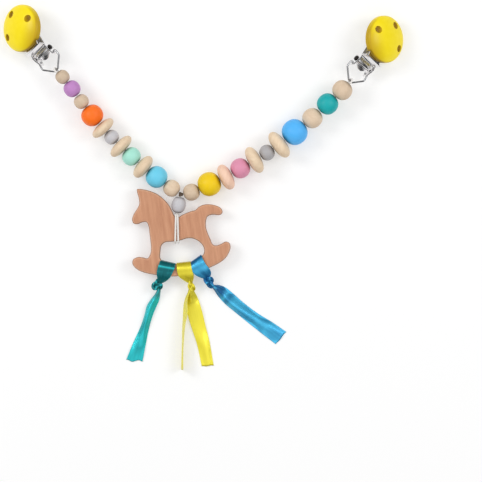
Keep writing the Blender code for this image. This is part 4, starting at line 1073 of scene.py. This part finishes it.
def make_clips():
    disc = disc_mesh()
    for side, turn in zip(SIDES, (33, -33)):
        place = clip_matrix(side)
        across = place[:3, 0]
        plated = steel(f"steel_{side}", (0.74, 0.73, 0.74), (0.94, 0.93, 0.93), (0, 0, turn))
        bail = joint_at(f"clip_{side}_swing")
        along = unit(joint_at(f"bail_{side}_swing") - bail)
        hung = placed(across, along, np.cross(across, along), at=bail)
        wire = mended(tube(bail_path(), BAIL_WIRE / 2, sides=20))
        # The disc, with its painted shade towards the rim and the high side
        disc_shade = paint_disc_shade(disc.copy(), math.copysign(1, place[2, 0]))
        for part, ending, shape, look, body, slot in (
            ("clip_disc", "lacquered", moved(disc_shade, place), LACQUER, "clip", "clip_yellow"),
            ("base_plate", "plated", PLATE_BEVEL, plated, "clip", "steel"),
            ("rivet", "plated", SMALL_BEVEL, plated, "clip", "steel"),
            ("lever", "plated", PLATE_BEVEL, plated, "lever", "steel"),
            # Near-black pin heads: painted shade where the notches beside the rolled edge look
            # black
            ("hinge_pin", "painted_dark", pin_mesh(side, across), PIN_HEAD_SHADE_STEEL, "clip", "steel"),
            ("grip_pad", "moulded", SMALL_BEVEL, PAD, "clip", "pad_plastic"),
            # The bail's wire in a darker copy of the plated steel, painted shade
            ("bail", "wire", moved(wire, hung), SHADED_WIRE_STEEL, "bail", "steel"),
        ):
            node, name = f"{part}_{side}", f"{part}_{side}_{ending}"
            if isinstance(shape, float):
                shape = refined(node, shape)
            piece(name, shape, look, f"{body}_{side}", [node])


# Ribbons


def fold_height(width, spread, waves):
    """How high a wave of cloth stands when it is drawn in to a share of its width: a wave's
    length grows by a quarter of its slope's square."""
    spread = np.clip(spread, 0.05, 0.999)
    return spread * width / (math.pi * waves) * np.sqrt(1 / spread - 1)


def keep_painted_sheen(mesh, points, steep):
    """Keeps a cloth's painted sheen, by how level its warp lies: one where level, down to none
    where steep.
    """
    ahead = unit(np.gradient(points, axis=0))
    keep(mesh, "level", 1 - np.clip(np.abs(ahead[..., 2]) / steep, 0, 1))


def cloth(points, along, width, steep):
    """A ribbon over rows of points, given its thickness."""
    mesh = grid_mesh(points, uv=(along, np.linspace(0, 1, points.shape[1]) * width))
    # Painted sheen, by how level the warp lies
    keep_painted_sheen(mesh, points, steep)
    return shade_smooth(finished(mesh, [
        ("SOLIDIFY", {"thickness": RIBBON_THICKNESS, "offset": 0, "use_even_offset": False}),
    ]))


def edges_of(stations):
    """A ribbon's two edges on the horse, station by station."""
    return at_px(stations).reshape(-1, 2, 2) + HORSE_SHIFT


def wrap_points(ribbon, columns=33):
    """A ribbon's wrap: up the front of the rocker from the knot, over its top edge, and down
    its back to the knot again, smooth on the board and pleated towards the knot."""
    pleated, waves, shift, deep, crown = 0.26, 2.0, 0.6, 0.75, 0.0005
    edges, heights = edges_of(ribbon["wrap"]), np.array(WRAP_HEIGHTS)
    down = unit((edges[-1] - edges[0]).mean(0))
    over = [edges[0] - down * beyond for beyond in WRAP_BEYOND]
    places = np.vstack([edges[::-1], over, edges])
    levels = np.concatenate([heights[::-1], WRAP_TURN, -heights]) + HORSE_MIDDLE
    first, second = (smooth_line(np.hstack([places[:, end], levels[:, None]]), 8) for end in (0, 1))
    share = np.linspace(0, 1, columns)
    points = between(first, second, share)
    middle = points[:, columns // 2]
    along = lengths_along(middle)
    spread = np.clip(np.linalg.norm(second - first, axis=-1) / ribbon["width"], 0, 1)
    to_end = np.minimum(along, along[-1] - along) / along[-1]
    gathered = 1 - smooth_step(to_end / pleated)
    height = fold_height(ribbon["width"], spread, waves) * gathered
    outward = np.sign(middle[:, 2:] - HORSE_MIDDLE)
    wave = 0.5 - 0.5 * np.cos(math.tau * waves * share + shift)
    points[..., 2] += height[:, None] * outward * wave * deep
    points[..., 2] += outward * (crown * (1 - gathered)[:, None] * np.sin(math.pi * share) ** 0.7)
    points[..., 2] = np.maximum(points[..., 2], RIBBON_THICKNESS)
    return points, along


def tail_points(tail, knot, columns=33):
    """A ribbon's tail between its two edges, arched so that it keeps its whole width, from the
    height of its knot down to the table. Its crest wanders, it has small pleats near the knot,
    and its cut end is a wave."""
    label, stations, profile, ragged = tail
    loose_by, flat_from, cut_from, narrowed, pleated = 0.12, 0.6, 0.9, 0.12, 0.3
    edges = edges_of(stations)
    start = knot[:2] + (edges[0] - edges[0].mean(0)) * 0.6
    places = np.vstack([start[None], edges])
    left, right = (smooth_line(places[:, end], 12) for end in (0, 1))
    share = np.linspace(0, 1, columns)
    flat = between(left, right, share)
    middle = flat[:, columns // 2]
    along = lengths_along(middle)
    run = (along / along[-1])[:, None]
    cut = ragged * np.sin(math.tau * 1.4 * share - 1.9) * smooth_step((run - cut_from) / 0.1)
    flat = flat + cut[..., None] * unit(middle[-1] - middle[-4])
    width = RIBBONS[label]["width"]
    spread = np.clip(np.linalg.norm(right - left, axis=-1) / width, 0, 1)[:, None]
    arch = 1.6 * fold_height(width, spread, 1.0) * np.clip((1.0 - spread) / narrowed, 0, 1)
    arch = arch * (1 - 0.5 * smooth_step((run - flat_from) / 0.4))
    lift = smooth_line([(0, knot[2]), *profile], 12)
    loose = smooth_step(run / loose_by)
    crest = share + 0.14 * np.sin(5.0 * run) * np.sin(math.pi * share)
    bow = np.sin(math.pi * np.clip(crest, 0, 1)) ** 1.3
    pleats = 0.12 * (1 - smooth_step(run / pleated)) * np.cos(math.tau * 2.5 * share)
    level = np.interp(run, *lift.T) + arch * (bow + pleats) * loose - arch * loose * 0.45
    return np.concatenate([flat, np.maximum(level, LIE_HEIGHT)[..., None]], -1), along


def thin_tail_points(knot, columns=21):
    """The tail that stands on its edge: it opens up out of its knot, leans in a fold, and sways
    and curls a little on its way."""
    open_by, folded_at, fold_reach, sway_reach, curl_reach = 0.016, 0.02, 0.006, 0.011, 0.02
    line = smooth_line(np.vstack([knot[None, :2], at_px(THIN_TAIL_PX) + HORSE_SHIFT]), 10)
    far = lengths_along(line)
    share, along = np.linspace(0, 1, columns), far[:, None]
    open_up = smooth_step(along / open_by)
    tall = RIBBONS["yellow"]["width"] * (0.25 + 0.72 * open_up)
    base = knot[2] * (1 - open_up) - tall * 0.5 * (1 - open_up) + LIE_HEIGHT
    level = np.clip(base, LIE_HEIGHT, None) + tall * share
    fold = 0.0018 + 0.0012 * np.exp(-((along - folded_at) / fold_reach) ** 2)
    lean = fold * open_up * (share - 0.5)
    sway = 0.0006 * np.sin(along / sway_reach) * (share - 0.3)
    curl = 0.0005 * np.sin(math.pi * share) * np.cos(along / curl_reach)
    gather = 0.0008 * np.sin(math.tau * 1.5 * share) * (1 - open_up)
    across = line[:, :1] + lean + sway + curl + gather
    return np.stack([across, np.broadcast_to(line[:, 1:], across.shape), level], -1), far


def ribbon_knot(centre, direction, ribbon):
    """An overhand knot of gathered ribbon: a trefoil drawn out along it, with a flat section
    that turns and swells on its way."""
    half_thick, half_wide, sides = 0.00075, 0.00145, 28
    ridged, swollen, hem, gathered_width = 0.14, 0.14, 0.001, 0.009
    path = trefoil(ribbon["line"], 132)
    step, angle = angles_round(len(path)), angles_round(sides)
    ridge = 1 + ridged * np.cos(5 * angle)
    thick, wide = half_thick * np.cos(angle) * ridge, half_wide * np.sin(angle)
    roll = 0.5 * np.sin(3 * step + 0.7)[:, None]
    swell = (1 + swollen * np.cos(2 * step + 0.4))[:, None]
    section = np.stack([(thick * np.cos(roll) - wide * np.sin(roll)) * swell,
                        (thick * np.sin(roll) + wide * np.cos(roll)) * swell], -1)
    points = sweep(path, section, UP, closed=True)
    mesh = grid_mesh(points, around=True, along=True,
                     uv=(lengths_along(np.vstack([path, path[:1]])),
                         np.arange(sides + 1) / sides * gathered_width + hem))
    # Painted sheen, by how level the knot's warp lies
    keep_painted_sheen(mesh, points, 0.6 * ribbon["tail_steep"])
    moved(mesh, Matrix.Rotation(math.radians(ribbon["turn"]), 4, "Z"))
    moved(mesh, Matrix.Diagonal((*ribbon["stretch"], 1, 1)))
    place = axis_matrix(centre, (0.25, -0.2, 1), (direction[1], -direction[0], 0))
    return mended(moved(mesh, place))


def make_ribbons():
    """The wraps and knots, which stay on the horse, and the tails, which are on no body."""
    looks = {label: satin(f"satin_{label}", ribbon) for label, ribbon in RIBBONS.items()}
    knots = {label: np.array([*(at_px(ribbon["knot"])[0] + HORSE_SHIFT), HORSE_MIDDLE])
             for label, ribbon in RIBBONS.items()}
    for label, ribbon in RIBBONS.items():
        points, along = wrap_points(ribbon)
        name, slot = f"{label}_ribbon_wrap", f"{label}_ribbon"
        mesh = cloth(points, along, ribbon["width"], ribbon["steep"])
        wrap = piece(name, mesh, looks[label], "horse", [f"{label}_ribbon_loop"])
        direction = unit(points[0].mean(0)[:2] - points[len(points) // 2].mean(0)[:2])
        knot = ribbon_knot(knots[label], direction, ribbon)
        tied = piece(f"{slot}_knot", knot, looks[label], "horse")
    tails = {name: (tail[0], *tail_points(tail, knots[tail[0]])) for name, tail in TAILS.items()}
    tails["yellow_tail_thin"] = ("yellow", *thin_tail_points(knots["yellow"]))
    for name, (label, points, along) in tails.items():
        width, knot = RIBBONS[label]["width"], knots[label]
        mesh = cloth(points, along, width, RIBBONS[label]["tail_steep"])
        tail = piece(f"{name}_satin", mesh, looks[label], replaces=[name])
        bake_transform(tail)


HORSE_LOW, HORSE_HIGH = (np.array(corner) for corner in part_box("horse"))
HORSE_SHIFT = HORSE_LOW[:2] - smooth_line(at_px(HORSE_OUTLINE_PX), 6, closed=True).min(0)
HORSE_MIDDLE = (HORSE_LOW[2] + HORSE_HIGH[2]) / 2
# The cord's white on its strands, with painted shade in its grooves
CORD = braided("braided_cord", (0.6, 0.57, 0.53), (0.96, 0.93, 0.9))
# The tied knot's cord, painted dark brown as shade between the beads
KNOT_SHADE_CORD = braided("knot_cord_painted_shade", (0.05, 0.035, 0.022), (0.17, 0.12, 0.08))
LACQUER = lacquer("yellow_lacquer", YELLOW_LACQUER)
PAD = material("moulded_plastic", {"Specular IOR Level": 0.5}, MOTTLE, Clouds=0.3, Roughness=0.38,
               Base=(0.8, 0.8, 0.77), Cloud=(0.88, 0.88, 0.86))
# A darker copy of the plated steel for the bail's thin wire: painted shade
SHADED_WIRE_STEEL = steel("steel_wire_shaded", (0.3, 0.3, 0.31), (0.52, 0.52, 0.53))
# Near-black steel for the pin heads, painted shade where the notches beside the rolled edge look
# black
PIN_HEAD_SHADE_STEEL = steel("steel_pin_head_shade", (0.012, 0.011, 0.011), (0.05, 0.045, 0.04))

make_stage()
make_cords()
make_beads()
make_horse()
make_horse_cord()
make_clips()
make_ribbons()
